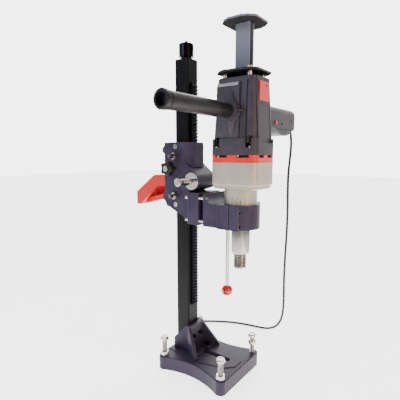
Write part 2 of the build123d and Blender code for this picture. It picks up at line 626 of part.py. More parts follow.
with BuildPart() as clamp_arm:
    with BuildSketch(Plane.XY.offset(BLOCK_BOTTOM)):
        with BuildLine():
            Polyline((ARM_REAR, -BLOCK_Y), (122, -BLOCK_Y), (128, -CLAMP_EAR_Y), (SPLIT_REAR, -CLAMP_EAR_Y),
                     (SPLIT_REAR, CLAMP_EAR_Y), (128, CLAMP_EAR_Y), (122, BLOCK_Y), (ARM_REAR, BLOCK_Y),
                     close=True)
        make_face()
        with Locations((MOTOR_X, 0)):
            Circle(CLAMP_BORE_R, mode=Mode.SUBTRACT)
    extrude(amount=CLAMP_TOP - BLOCK_BOTTOM)
    with BuildSketch(Plane.XZ):
        with BuildLine():
            Line((ARM_REAR, CLAMP_TOP - 1), (ARM_REAR, BLOCK_TOP))
            Line((ARM_REAR, BLOCK_TOP), (ARM_REAR + 3, BLOCK_TOP))
            ThreePointArc((ARM_REAR + 3, BLOCK_TOP), (ARM_REAR + 9, BLOCK_TOP - 14),
                          (ARM_REAR + 21, CLAMP_TOP))
            Line((ARM_REAR + 21, CLAMP_TOP), (ARM_REAR + 21, CLAMP_TOP - 1))
            Line((ARM_REAR + 21, CLAMP_TOP - 1), (ARM_REAR, CLAMP_TOP - 1))
        make_face()
    extrude(amount=BLOCK_Y, both=True)
    for bolt_y in (-BOLT_Y, BOLT_Y):
        for bolt_z in BOLT_Z:
            with Locations(Plane((ARM_REAR, bolt_y, bolt_z), z_dir=(-1, 0, 0))):
                Hole(4 + SEAT_GAP, depth=11)
    for screw_y in (-CLAMP_SCREW_Y, CLAMP_SCREW_Y):
        for screw_z in CLAMP_SCREW_Z:
            with Locations(Plane((SPLIT_REAR, screw_y, screw_z), z_dir=(1, 0, 0))):
                Hole(3 + SEAT_GAP, depth=22)
keep(clamp_arm, "clamp_arm")
with BuildPart() as clamp_cap:
    with BuildSketch(Plane.XY.offset(BLOCK_BOTTOM)):
        with Locations((SPLIT_FRONT, 0)):
            Rectangle(EAR_FRONT - SPLIT_FRONT, 2 * CLAMP_EAR_Y, align=(Align.MIN, Align.CENTER))
        with Locations((MOTOR_X, 0)):
            Circle(CLAMP_R)
        with Locations((SPLIT_FRONT, 0)):
            Rectangle(100, 200, align=(Align.MAX, Align.CENTER), mode=Mode.SUBTRACT)
        with Locations((MOTOR_X, 0)):
            Circle(CLAMP_BORE_R, mode=Mode.SUBTRACT)
    extrude(amount=CLAMP_TOP - BLOCK_BOTTOM)
    for screw_y in (-CLAMP_SCREW_Y, CLAMP_SCREW_Y):
        for screw_z in CLAMP_SCREW_Z:
            with Locations(Plane((EAR_FRONT, screw_y, screw_z), z_dir=(1, 0, 0))):
                CounterBoreHole(3 + SEAT_GAP, 5.8, 8, depth=CLAMP_EAR_X)
keep(clamp_cap, "clamp_cap")
with BuildPart() as clamp_screws:
    for screw_y in (-CLAMP_SCREW_Y, CLAMP_SCREW_Y):
        for screw_z in CLAMP_SCREW_Z:
            with Locations(Plane((EAR_FRONT - 8, screw_y, screw_z), z_dir=(1, 0, 0))):
                add(socket_screw(3, 32, 5.5, 6, 2.8))
keep(clamp_screws, "clamp_screws")

# ================================================================ gearbox
with BuildPart() as gearbox_housing:
    with BuildSketch(Plane((BODY_X, 0, GEARBOX_BOTTOM + TIER_HEIGHT))):
        add(rounded(GEARBOX_HALF))
    extrude(amount=GEARBOX_TOP - GEARBOX_BOTTOM - TIER_HEIGHT)
    fillet(gearbox_housing.faces().sort_by(Axis.Z)[0].edges(), 3)
    with BuildSketch(Plane((BODY_X, 0, GEARBOX_BOTTOM))):
        add(rounded(GEARBOX_HALF, TIER_INSET))
    extrude(amount=TIER_HEIGHT)
    chamfer(gearbox_housing.faces().sort_by(Axis.Z)[0].edges(), 2.5)
    with Locations((MOTOR_X, 0, NECK_BOTTOM)):
        Cylinder(NECK_R, GEARBOX_BOTTOM - NECK_BOTTOM + 1, align=(Align.CENTER, Align.CENTER, Align.MIN))
    with BuildSketch(Plane((BODY_X, 0, GEARBOX_BOTTOM + 12))):
        add(rounded(GEARBOX_HALF, GEARBOX_WALL))
    extrude(amount=GEARBOX_TOP - GEARBOX_BOTTOM - 12, mode=Mode.SUBTRACT)
    with Locations((MOTOR_X, 0, GEARBOX_BOTTOM + 12)):
        CounterBoreHole(SPINDLE_R + 1, 20 + SEAT_GAP, 14)
    with Locations(Plane((MOTOR_X, 0, NECK_BOTTOM), z_dir=(0, 0, -1))):
        CounterBoreHole(SPINDLE_R + 2, 28 + SEAT_GAP, 24)
    with Locations((COUNTER_X, 0, GEARBOX_BOTTOM + 12)):
        Hole(9 + SEAT_GAP, depth=8)
    with Locations(Plane((MOTOR_X, GEARBOX_HALF[1], 501), z_dir=(0, 1, 0))):
        Hole(5.5 + SEAT_GAP, depth=GEARBOX_WALL)
keep(gearbox_housing, "gearbox_housing")

with BuildPart() as water_nipple:
    with BuildSketch(Plane.XY):
        with BuildLine():
            nipple = [(3, -GEARBOX_WALL), (5.5, -GEARBOX_WALL), (5.5, 0), (9, 0), (9, 6), (6, 6), (6, 9),
                      (7.2, 9), (5.6, 14), (7.2, 14), (5.6, 19), (7.2, 19), (5.4, 25), (3, 25)]
            Polyline(*nipple, close=True)
        make_face()
    revolve(axis=Axis.Y)
water_nipple.part.locate(Location((MOTOR_X, GEARBOX_HALF[1], 501)))
keep(water_nipple, "water_nipple")
with BuildPart() as spindle_bearings:
    with Locations((MOTOR_X, 0, NECK_BOTTOM + 8)):
        add(ring(28, SPINDLE_R + RUN_GAP, 16))
    with Locations((MOTOR_X, 0, GEARBOX_BOTTOM - 2)):
        add(ring(20, SPINDLE_UPPER_R + RUN_GAP, 13))
    with Locations((MOTOR_X, 0, NECK_BOTTOM)):
        add(ring(28, SPINDLE_R + RUN_GAP, 7.5))
keep(spindle_bearings, "spindle_bearings")

with BuildPart() as spindle:
    with Locations((MOTOR_X, 0, SPINDLE_TIP)):
        Cylinder(THREAD_R, SPINDLE_SHOULDER - SPINDLE_TIP, align=(Align.CENTER, Align.CENTER, Align.MIN))
    chamfer(spindle.faces().sort_by(Axis.Z)[0].edges(), 2)
    with BuildSketch(Plane((MOTOR_X, 0, SPINDLE_SHOULDER))):
        RegularPolygon(SPINDLE_AF / 2, 6, major_radius=False, rotation=7)
    extrude(amount=NECK_BOTTOM - 0.5 - SPINDLE_SHOULDER)
    chamfer(spindle.edges().group_by(Axis.Z)[-1], 1.5)
    with Locations((MOTOR_X, 0, NECK_BOTTOM - 1)):
        Cylinder(SPINDLE_R, SPINDLE_STEP - NECK_BOTTOM + 1, align=(Align.CENTER, Align.CENTER, Align.MIN))
        Cylinder(SPINDLE_UPPER_R, SPINDLE_TOP - NECK_BOTTOM + 1, align=(Align.CENTER, Align.CENTER, Align.MIN))
        Cylinder(SPINDLE_BORE_R, 400, mode=Mode.SUBTRACT)
keep(spindle, "spindle")
with BuildPart() as spindle_gear:
    with Locations((MOTOR_X, 0, 481)):
        add(gear_blank(20, 2.0, 14, SPINDLE_UPPER_R, 0.0))
keep(spindle_gear, "spindle_gear")

with BuildPart() as countershaft:
    with Locations((COUNTER_X, 0, 471)):
        Cylinder(5, 52, align=(Align.CENTER, Align.CENTER, Align.MIN))
    with Locations((COUNTER_X, 0, 480)):
        add(gear_blank(10, 2.0, 16, 4, 18.0))
keep(countershaft, "countershaft")
with BuildPart() as counter_wheel:
    with Locations((COUNTER_X, 0, 502)):
        add(gear_blank(36, 1.25, 10, 5, 0.0))
keep(counter_wheel, "counter_wheel")
with BuildPart() as gear_cover:
    with BuildSketch(Plane((BODY_X, 0, 517))):
        add(rounded(GEARBOX_HALF, GEARBOX_WALL + SEAT_GAP))
        with Locations((MOTOR_X - BODY_X, 0)):
            Circle(15 + SEAT_GAP, mode=Mode.SUBTRACT)
        with Locations((COUNTER_X - BODY_X, 0)):
            Circle(9 + SEAT_GAP, mode=Mode.SUBTRACT)
    extrude(amount=GEARBOX_TOP - 517)
keep(gear_cover, "gear_cover")

# ================================================================ motor
with BuildPart() as vent_ring:
    with BuildSketch(Plane((BODY_X, 0, GEARBOX_TOP))):
        add(rounded(GEARBOX_HALF))
        add(rounded(GEARBOX_HALF, 4), mode=Mode.SUBTRACT)
    extrude(amount=RING_TOP - GEARBOX_TOP)
    cut_height = RING_TOP - GEARBOX_TOP - RING_BAND
    for cut_x in (-27, 27):
        with Locations((BODY_X + cut_x, 0, RING_TOP)):
            Box(30, 2 * GEARBOX_HALF[1] + 2, cut_height * 2, mode=Mode.SUBTRACT)
    with Locations((BODY_X, 0, RING_TOP)):
        for cut_y in (-19, 19):
            with Locations((0, cut_y, 0)):
                Box(2 * GEARBOX_HALF[0] + 2, 22, cut_height * 2, mode=Mode.SUBTRACT)
keep(vent_ring, "vent_ring")

with BuildPart() as motor_housing:
    with BuildSketch(Plane((BODY_X, 0, RING_TOP))):
        add(rounded(GEARBOX_HALF))
    extrude(amount=BAND_TOP - RING_TOP)
    with BuildSketch(Plane((BODY_X, 0, BAND_TOP))):
        add(rounded(HOUSING_HALF, 0, 16))
    with BuildSketch(Plane((BODY_X, 0, HOUSING_TOP))):
        add(rounded(CROWN_HALF, 0, 15))
    loft()
    with Locations(Plane((MOTOR_X, 0, HANDLE_Z), z_dir=(0, -1, 0))):
        Cylinder(HANDLE_BOSS_R, -HANDLE_BOSS_Y, align=(Align.CENTER, Align.CENTER, Align.MIN))
    with BuildSketch(Plane((BODY_X, 0, RING_TOP))):
        add(rounded(HOUSING_HALF, HOUSING_WALL, 16))
    with BuildSketch(Plane((BODY_X, 0, HOUSING_TOP))):
        add(rounded(CROWN_HALF, HOUSING_WALL, 15))
    loft(mode=Mode.SUBTRACT)
    with Locations(Plane((MOTOR_X, HANDLE_BOSS_Y, HANDLE_Z), z_dir=(0, -1, 0))):
        Hole(6 + SEAT_GAP, depth=30)
    with Locations((BODY_X, 0, 673)):
        Box(140, 42, 40, mode=Mode.SUBTRACT)
    with Locations((GRIP_X, 45, (GRIP_Z[0] + GRIP_Z[1]) / 2)):
        Box(24, 20, 24, mode=Mode.SUBTRACT)
keep(motor_housing, "motor_housing")

with BuildPart() as brush_covers:
    for side in (-1, 1):
        face_x = BODY_X + side * (CROWN_HALF[0] + 0.9)
        with Locations((face_x - side * 0.5, 0, 673)):
            Box(5.4, 41.4, 39.4)
keep(brush_covers, "brush_covers")

with BuildPart() as top_cap:
    with BuildSketch(Plane((BODY_X, 0, HOUSING_TOP))):
        add(rounded(CROWN_HALF, 0, 15))
    extrude(amount=CAP_THICK)
    fillet(top_cap.faces().sort_by(Axis.Z)[-1].edges(), 2.5)
    with Locations((MOTOR_X, 0, HOUSING_TOP)):
        Cylinder(16, 14, align=(Align.CENTER, Align.CENTER, Align.MAX))
        Cylinder(11 + SEAT_GAP, 14, align=(Align.CENTER, Align.CENTER, Align.MAX), mode=Mode.SUBTRACT)
keep(top_cap, "top_cap")
with BuildPart() as motor_bearings:
    with Locations((COUNTER_X, 0, GEARBOX_BOTTOM + 4)):
        add(ring(9, 5 + RUN_GAP, 8))
    with Locations((COUNTER_X, 0, 517)):
        add(ring(9, 5 + RUN_GAP, 7))
    with Locations((MOTOR_X, 0, 517)):
        add(ring(15, 6 + RUN_GAP, 9))
    with Locations((MOTOR_X, 0, HOUSING_TOP - 8)):
        add(ring(11, 5 + RUN_GAP, 8))
keep(motor_bearings, "motor_bearings")

with BuildPart() as armature_shaft:
    with Locations((MOTOR_X, 0, 500)):
        Cylinder(6, 182, align=(Align.CENTER, Align.CENTER, Align.MIN))
        Cylinder(5, 196, align=(Align.CENTER, Align.CENTER, Align.MIN))
    with Locations((MOTOR_X, 0, 501)):
        add(gear_blank(12, 1.25, 12, 5, 15.0))
keep(armature_shaft, "armature_shaft")
with BuildPart() as cooling_fan:
    with Locations((MOTOR_X, 0, 528)):
        add(ring(12, 6, 10))
        add(ring(36, 11, 2))
    for blade in range(12):
        with BuildSketch(Plane((MOTOR_X, 0, 529))):
            with Locations(Rotation(0, 0, blade * 30)):
                with Locations((24, 0)):
                    Rectangle(22, 2, rotation=18)
        extrude(amount=8)
keep(cooling_fan, "cooling_fan")
with BuildPart() as armature_core:
    with BuildSketch(Plane((MOTOR_X, 0, 566))):
        Circle(24)
        with PolarLocations(22, 12):
            Rectangle(5, 2.4, mode=Mode.SUBTRACT)
        Circle(6, mode=Mode.SUBTRACT)
    extrude(amount=66)
    with BuildSketch(Plane((MOTOR_X, 0, 648))):
        Circle(15)
        with PolarLocations(15, 24):
            Rectangle(3, 0.7, mode=Mode.SUBTRACT)
        Circle(6, mode=Mode.SUBTRACT)
    extrude(amount=22)
keep(armature_core, "armature_core")
with BuildPart() as field_core:
    with BuildSketch(Plane((MOTOR_X, 0, 566))):
        RectangleRounded(84, 72, 14)
        Circle(24.6, mode=Mode.SUBTRACT)
        with Locations((0, 0)):
            Rectangle(66, 30, mode=Mode.SUBTRACT)
        with Locations((34, 0), (-34, 0)):
            Rectangle(8, 30)
    extrude(amount=64)
    with Locations((MOTOR_X, 0, 598)):
        Cylinder(24.6, 70, mode=Mode.SUBTRACT)
keep(field_core, "field_core")
with BuildPart() as brush_holders:
    for side in (-1, 1):
        with Locations((MOTOR_X + side * 31, 0, 659)):
            Box(20, 14, 14)
            Box(30, 8.2, 9.2, mode=Mode.SUBTRACT)
        with Locations((MOTOR_X + side * 27.5, 0, 659)):
            Box(24, 8, 9)
keep(brush_holders, "brush_holders")

# Side handle, on the near side of the motor housing.
with BuildPart() as side_handle:
    with BuildSketch(Plane.XY):
        with BuildLine():
            Polyline((0, HANDLE_BOSS_Y + 14), (6, HANDLE_BOSS_Y + 14), (6, HANDLE_BOSS_Y),
                     (HANDLE_NECK_R, HANDLE_BOSS_Y), (HANDLE_NECK_R, HANDLE_GRIP_Y),
                     (HANDLE_GRIP_R, HANDLE_GRIP_Y - 2), (HANDLE_GRIP_R, HANDLE_END_Y + 12),
                     (HANDLE_GRIP_R + 1.5, HANDLE_END_Y + 9), (HANDLE_GRIP_R + 1.5, HANDLE_END_Y + 1),
                     (HANDLE_GRIP_R + 0.5, HANDLE_END_Y), (HANDLE_BORE_R, HANDLE_END_Y),
                     (HANDLE_BORE_R, HANDLE_END_Y + 110), (0, HANDLE_END_Y + 110), close=True)
        make_face()
    revolve(axis=Axis.Y)
side_handle.part.locate(Location((MOTOR_X, 0, HANDLE_Z)))
keep(side_handle, "side_handle")

# Switch grip, on the far side.
grip_mid = (GRIP_Z[0] + GRIP_Z[1]) / 2
grip_root = CROWN_HALF[1] - 2.0
with BuildPart() as switch_grip:
    with Locations((GRIP_X, (grip_root + GRIP_END_Y) / 2, grip_mid)):
        Box(GRIP_WIDTH, GRIP_END_Y - grip_root, GRIP_Z[1] - GRIP_Z[0])
    fillet(switch_grip.edges().filter_by(Axis.Y).group_by(Axis.Z)[-1], 16)
    fillet(switch_grip.faces().sort_by(Axis.Y)[-1].edges().sort_by(Axis.Z)[1:], 14)
    with BuildSketch(Plane((BODY_X, 0, BAND_TOP))):
        add(rounded(HOUSING_HALF, 0, 16))
    with BuildSketch(Plane((BODY_X, 0, HOUSING_TOP))):
        add(rounded(CROWN_HALF, 0, 15))
    loft(mode=Mode.SUBTRACT)
    with Locations((GRIP_X, (grip_root + GRIP_END_Y) / 2 - 4, grip_mid - 2)):
        Box(GRIP_WIDTH - 2 * GRIP_WALL - 2, GRIP_END_Y - grip_root - 30, GRIP_Z[1] - GRIP_Z[0] - 16,
            mode=Mode.SUBTRACT)
    with Locations((GRIP_X, 103, GRIP_Z[0])):
        Box(16.6, 32, 24, mode=Mode.SUBTRACT)
    with Locations(Plane((GRIP_X + GRIP_WIDTH / 2, 125, 619), z_dir=(1, 0, 0))):
        Hole(4.3, depth=7)
    with Locations(Plane(origin=LEAD_EXIT, z_dir=LEAD_HEADING)):
        Cylinder(RELIEF_R + SEAT_GAP, 30, mode=Mode.SUBTRACT)
keep(switch_grip, "switch_grip")
with BuildPart() as grip_keel:
    with BuildSketch(Plane.YZ.offset(GRIP_X)):
        with BuildLine():
            Line((133, GRIP_Z[0]), (GRIP_END_Y - 16, GRIP_Z[0]))
            ThreePointArc((GRIP_END_Y - 16, GRIP_Z[0]), (192, GRIP_Z[0] - 16), (133, GRIP_Z[0]))
        make_face()
    extrude(amount=GRIP_WIDTH / 2 - 3, both=True)
keep(grip_keel, "grip_keel")
with BuildPart() as switch_module:
    with Locations((GRIP_X, 118, grip_mid - 2 + (GRIP_Z[1] - GRIP_Z[0] - 16) / 2 - SKIN_GAP)):
        Box(22, 56, 25, align=(Align.CENTER, Align.CENTER, Align.MAX))
keep(switch_module, "switch_module")
with BuildPart() as trigger:
    with BuildSketch(Plane.YZ.offset(GRIP_X)):
        with BuildLine():
            Polyline((90, 616), (90, 600), (96, 596), (112, 599), (116, 606), (116, 616), close=True)
        make_face()
    extrude(amount=8, both=True)
keep(trigger, "trigger")
with BuildPart() as lock_button:
    with Locations(Plane((GRIP_X + GRIP_WIDTH / 2 - 5, 125, 619), z_dir=(1, 0, 0))):
        Cylinder(4, 8, align=(Align.CENTER, Align.CENTER, Align.MIN))
keep(lock_button, "lock_button")

# Top plates and post.
with BuildPart() as lower_plate:
    with BuildSketch(Plane((BODY_X, 0, PLATE_Z))):
        add(notched_plate(CROWN_HALF[0] + 2, CROWN_HALF[1] + 10, 18, 8))
        with GridLocations(60, 56, 2, 2):
            Circle(3 + SEAT_GAP, mode=Mode.SUBTRACT)
    extrude(amount=PLATE_THICK)
keep(lower_plate, "lower_plate")
with BuildPart() as plate_screws:
    with Locations((BODY_X, 0, HOUSING_TOP + CAP_THICK)):
        with GridLocations(60, 56, 2, 2):
            add(ring(5.5, 3 + SEAT_GAP, PLATE_Z - HOUSING_TOP - CAP_THICK))
    with Locations((BODY_X, 0, PLATE_Z + PLATE_THICK)):
        with GridLocations(60, 56, 2, 2):
            add(socket_screw(3, PLATE_Z + PLATE_THICK - HOUSING_TOP - CAP_THICK, 5.5, 5, 2.5))
keep(plate_screws, "plate_screws")
with BuildPart() as post:
    with BuildSketch(Plane((BODY_X, 0, PLATE_Z + PLATE_THICK))):
        Rectangle(POST_DEPTH, POST_WIDTH)
        with Locations((POST_WALL, 0)):
            Rectangle(POST_DEPTH, POST_WIDTH - 2 * POST_WALL, mode=Mode.SUBTRACT)
    extrude(amount=POST_TOP - PLATE_Z - PLATE_THICK)
    with BuildSketch(Plane((BODY_X, 0, POST_TOP))):
        add(notched_plate(41, 45, 19, 8))
    extrude(amount=PLATE_THICK)
keep(post, "post")

# ================================================================ mains lead
# The lead leaves the end of the switch grip, hangs to the floor and runs behind the base to a
# hank, which lies behind the column.
cord_points = [
    LEAD_EXIT, (158, 264, 608), (158, 272, 583), (158, 273, 555), (158, 266, 523),
    (158, 260, 487), (159, 258, 444), (160, 260, 385), (159, 262, 320), (157, 261, 252),
    (157, 258, 185), (159, 257, 125), (158, 259, 82), (152, 260, 48), (137, 260, 23),
    (112, 259, 8), (80, 257, 4), (38, 250, 3.9), (-6, 235, 4), (-46, 213, 3.9),
    (-79, 189, 4), (-108.2, 165.6, 3.9),
]


def corner_radii(points):
    """The largest arc that each corner's two runs allow."""
    radii = []
    for before, corner, after in zip(points, points[1:], points[2:]):
        run_in = Vector(*corner) - Vector(*before)
        run_out = Vector(*after) - Vector(*corner)
        turn = radians(run_in.get_angle(run_out))
        radii.append(0.45 * min(run_in.length, run_out.length) / tan(turn / 2))
    return radii


cord_radii = corner_radii(cord_points)
print("cord radii", [round(r) for r in cord_radii], "smallest", round(min(cord_radii), 1))
cord_start = Vector(*LEAD_EXIT)
cord_heading = Vector(*LEAD_HEADING)
with BuildPart() as cord:
    with BuildLine() as cord_path:
        FilletPolyline(*cord_points, radius=cord_radii)
    with BuildSketch(Plane(origin=cord_start, z_dir=cord_heading)):
        Circle(CORD_R)
    sweep()
keep(cord, "cord")
cord_length = cord_path.wires()[0].length
print("cord length", round(cord_length, 1), "volume over section times length",
      round(cord.part.volume / (cord_length * pi * CORD_R**2), 4))

HANK_LENGTH = 148.0
HANK_WIDTH = 64.0
HANK_HEIGHT = 15.0        # two layers of the lead
HANK_LIFT = 0.1
HANK_PLACE = (-169.0, 207.0)
HANK_ANGLE = 129.2        # its long side points straight back from the column
with BuildPart() as cord_hank:
    with BuildSketch(Plane.XY.offset(HANK_LIFT)):
        with Locations(Location((*HANK_PLACE, 0), (0, 0, HANK_ANGLE))):
            SlotOverall(HANK_LENGTH, HANK_WIDTH)
    extrude(amount=HANK_HEIGHT)
keep(cord_hank, "cord_hank")
PLUG_HEIGHT = 30.0
PLUG_WIDTH = 34.0
PLUG_LENGTH = 38.0
with BuildPart() as mains_plug:
    with BuildSketch(Plane(origin=(*HANK_PLACE, HANK_LIFT + HANK_HEIGHT + PLUG_HEIGHT / 2), x_dir=(0, 0, 1),
                           z_dir=(cos(radians(HANK_ANGLE)), sin(radians(HANK_ANGLE)), 0))):
        RectangleRounded(PLUG_HEIGHT, PLUG_WIDTH, 8)
    extrude(amount=PLUG_LENGTH)
keep(mains_plug, "mains_plug")
RELIEF_INSIDE = 6.0
RELIEF_STRAIGHT = 4.0
RELIEF_END = 17.0
RELIEF_BORE_R = CORD_R + 0.4
relief_way = cord_heading.normalized()
with BuildPart() as strain_relief:
    with BuildSketch(Plane(origin=cord_start - relief_way * RELIEF_INSIDE, z_dir=cord_heading)):
        Circle(RELIEF_R)
        Circle(RELIEF_BORE_R, mode=Mode.SUBTRACT)
    extrude(amount=RELIEF_INSIDE + RELIEF_STRAIGHT)
    with BuildSketch(Plane(origin=cord_start + relief_way * RELIEF_STRAIGHT, z_dir=cord_heading)):
        Circle(RELIEF_R)
    with BuildSketch(Plane(origin=cord_start + relief_way * RELIEF_END, z_dir=cord_heading)):
        Circle(CORD_R + 1.5)
    loft()
    with Locations(Plane(origin=cord_start, z_dir=cord_heading)):
        Cylinder(RELIEF_BORE_R, 60, mode=Mode.SUBTRACT)
keep(strain_relief, "strain_relief")
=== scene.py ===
"""Core drill rig: the visual model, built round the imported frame.

Lengths in the classes are in millimetres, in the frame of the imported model: +X points from the
column to the drill, +Z is up, the near side is -Y and the origin is under the column.
"""

import logging
import math
from collections.abc import Callable, Iterable, Iterator, Sequence
from contextlib import contextmanager
from dataclasses import dataclass
from enum import Enum
from typing import ClassVar

import bmesh
import bpy
from mathutils import Matrix, Vector


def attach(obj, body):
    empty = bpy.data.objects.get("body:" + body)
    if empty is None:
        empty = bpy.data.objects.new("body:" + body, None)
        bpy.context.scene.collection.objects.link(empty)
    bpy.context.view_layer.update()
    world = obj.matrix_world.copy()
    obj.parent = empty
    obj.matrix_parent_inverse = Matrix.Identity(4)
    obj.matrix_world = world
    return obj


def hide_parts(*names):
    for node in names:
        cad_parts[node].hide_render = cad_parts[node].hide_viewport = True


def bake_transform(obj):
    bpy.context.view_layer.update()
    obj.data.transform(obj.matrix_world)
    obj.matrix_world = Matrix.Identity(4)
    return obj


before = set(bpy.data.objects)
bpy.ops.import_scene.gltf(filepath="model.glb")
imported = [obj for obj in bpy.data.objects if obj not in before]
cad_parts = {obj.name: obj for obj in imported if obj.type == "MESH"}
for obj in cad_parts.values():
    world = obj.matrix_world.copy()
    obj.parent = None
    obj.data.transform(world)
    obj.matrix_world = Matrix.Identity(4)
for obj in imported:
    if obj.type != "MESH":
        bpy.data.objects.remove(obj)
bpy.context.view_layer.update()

MM = 0.001
LOG = logging.getLogger("core_drill_rig")

Point = tuple[float, float, float]
Piece = bpy.types.Object


class Element(Enum):
    """What an edit-mode selection picks."""

    EDGES = "EDGE"
    FACES = "FACE"


class Cut(Enum):
    """What a cutter leaves of a piece."""

    OUTSIDE = "DIFFERENCE"
    INSIDE = "INTERSECT"


class Body(str, Enum):
    """The moving bodies that new pieces ride on."""

    STAND = "stand"
    CARRIAGE = "carriage"
    SPINDLE = "spindle_unit"


# ------------------------------------------------------------------------------- modelling
def deselect_all() -> None:
    """Leave nothing selected, so that an operator acts only on what is picked next."""
    for thing in bpy.context.selected_objects:
        thing.select_set(False)


def pick_up(piece: Piece) -> None:
    """Select one piece alone and make it the active one.

    Args:
        piece: The piece that the next operators act on.
    """
    deselect_all()
    piece.select_set(True)
    bpy.context.view_layer.objects.active = piece


@contextmanager
def editing(piece: Piece) -> Iterator[None]:
    """Hold a piece in edit mode with nothing selected.

    Args:
        piece: The piece to edit.
    """
    pick_up(piece)
    bpy.ops.object.mode_set(mode="EDIT")
    bpy.ops.mesh.select_all(action="DESELECT")
    yield
    bpy.ops.object.mode_set(mode="OBJECT")


def select(piece: Piece, element: Element, test: Callable[[Vector, Vector], bool]) -> None:
    """Select the faces or edges of a piece in edit mode by their place and direction.

    Args:
        piece: The piece being edited.
        element: Whether edges or faces are picked.
        test: Takes the middle in mm and the face's normal or the edge's direction.
    """
    bpy.ops.mesh.select_mode(type=element.value)
    bpy.ops.mesh.select_all(action="DESELECT")
    mesh = bmesh.from_edit_mesh(piece.data)
    if element is Element.FACES:
        for face in mesh.faces:
            if test(face.calc_center_median() / MM, face.normal):
                face.select_set(True)
    else:
        for edge in mesh.edges:
            start, end = edge.verts[0].co, edge.verts[1].co
            if test((start + end) / 2 / MM, (end - start).normalized()):
                edge.select_set(True)
    mesh.select_flush_mode()
    bmesh.update_edit_mesh(piece.data)


def place_in_scene(name: str, data: bpy.types.ID) -> Piece:
    """Make an object of a mesh, curve, lamp or camera and link it into the scene.

    Args:
        name: The object's name.
        data: What it shows.

    Returns:
        The new object.
    """
    made = bpy.data.objects.new(name, data)
    bpy.context.scene.collection.objects.link(made)
    return made


def settle(piece: Piece) -> Piece:
    """Put a piece's place, turn and scale into its mesh.

    Args:
        piece: The piece to settle.

    Returns:
        The same piece, now at the origin.
    """
    pick_up(piece)
    bpy.ops.object.transform_apply(location=True, rotation=True, scale=True)
    return piece


def block(name: str, low: Point, high: Point) -> Piece:
    """Add a cube primitive between two corners.

    Args:
        name: The piece's name.
        low: Its lowest corner in mm.
        high: Its highest corner in mm.

    Returns:
        The settled block.
    """
    deselect_all()
    start, end = Vector(low) * MM, Vector(high) * MM
    bpy.ops.mesh.primitive_cube_add(size=1.0, location=(start + end) / 2)
    made = bpy.context.active_object
    made.name = name
    made.scale = end - start
    return settle(made)


def rod(name: str, start: Point, end: Point, radius: float, far_radius: float | None = None,
        sides: int = 48) -> Piece:
    """Add a cylinder or cone primitive between two points.

    Args:
        name: The piece's name.
        start: The middle of its first end in mm.
        end: The middle of its far end in mm.
        radius: Its radius at the first end in mm.
        far_radius: Its radius at the far end, if that differs.
        sides: How many sides it has.

    Returns:
        The settled rod.
    """
    deselect_all()
    a, b = Vector(start) * MM, Vector(end) * MM
    far = radius if far_radius is None else far_radius
    bpy.ops.mesh.primitive_cone_add(
        vertices=sides, radius1=radius * MM, radius2=far * MM, depth=(b - a).length,
        location=(a + b) / 2, rotation=(b - a).to_track_quat("Z", "Y").to_euler(),
    )
    made = bpy.context.active_object
    made.name = name
    return settle(made)


def apply_modifier(piece: Piece, kind: str, **settings: object) -> None:
    """Add a modifier with its settings and apply it.

    Args:
        piece: The piece to change.
        kind: Blender's name for the modifier.
        **settings: The modifier's settings.
    """
    pick_up(piece)
    modifier = piece.modifiers.new(kind.lower(), kind)
    for key, value in settings.items():
        setattr(modifier, key, value)
    bpy.ops.object.modifier_apply(modifier=modifier.name)


def round_edges(piece: Piece, width: float, segments: int = 2, over_degrees: float = 35.0) -> Piece:
    """Round every edge sharper than an angle.

    Args:
        piece: The piece to change.
        width: The rounding's width in mm.
        segments: How many steps the rounding has.
        over_degrees: The least angle of an edge that is rounded.

    Returns:
        The same piece.
    """
    apply_modifier(piece, "BEVEL", width=width * MM, segments=segments, limit_method="ANGLE",
                   angle_limit=math.radians(over_degrees), use_clamp_overlap=True)
    return piece


def cut(piece: Piece, cutters: Iterable[Piece], kept: Cut = Cut.OUTSIDE) -> Piece:
    """Cut a piece with others, and use those up.

    Args:
        piece: The piece that is cut.
        cutters: The pieces that cut it.
        kept: Whether what lies outside or inside the cutters stays.

    Returns:
        The same piece.
    """
    for cutter in cutters:
        apply_modifier(piece, "BOOLEAN", operation=kept.value, object=cutter, solver="EXACT")
        bpy.data.objects.remove(cutter, do_unlink=True)
    return piece


def join(name: str, pieces: Sequence[Piece]) -> Piece:
    """Make several meshes one piece.

    Args:
        name: The joined piece's name.
        pieces: The pieces to join.

    Returns:
        The joined piece.
    """
    deselect_all()
    for each in pieces:
        each.select_set(True)
    bpy.context.view_layer.objects.active = pieces[0]
    if len(pieces) > 1:
        bpy.ops.object.join()
    pieces[0].name = name
    return pieces[0]


def duplicate(piece: Piece, name: str, matrix: Matrix) -> Piece:
    """Copy a piece with its own mesh, moved by a matrix.

    Args:
        piece: The piece to copy.
        name: The copy's name.
        matrix: The move, in metres.

    Returns:
        The settled copy.
    """
    made = piece.copy()
    made.data = piece.data.copy()
    made.name = name
    bpy.context.scene.collection.objects.link(made)
    made.matrix_world = matrix
    return settle(made)


def copies(pattern: Piece, shifts: Iterable[Point]) -> list[Piece]:
    """Copy a piece to several places, and use the pattern up.

    Args:
        pattern: The piece, modelled once.
        shifts: How far each copy is moved in mm.

    Returns:
        The copies.
    """
    made = [duplicate(pattern, pattern.name, Matrix.Translation(Vector(shift) * MM)) for shift in shifts]
    bpy.data.objects.remove(pattern, do_unlink=True)
    return made


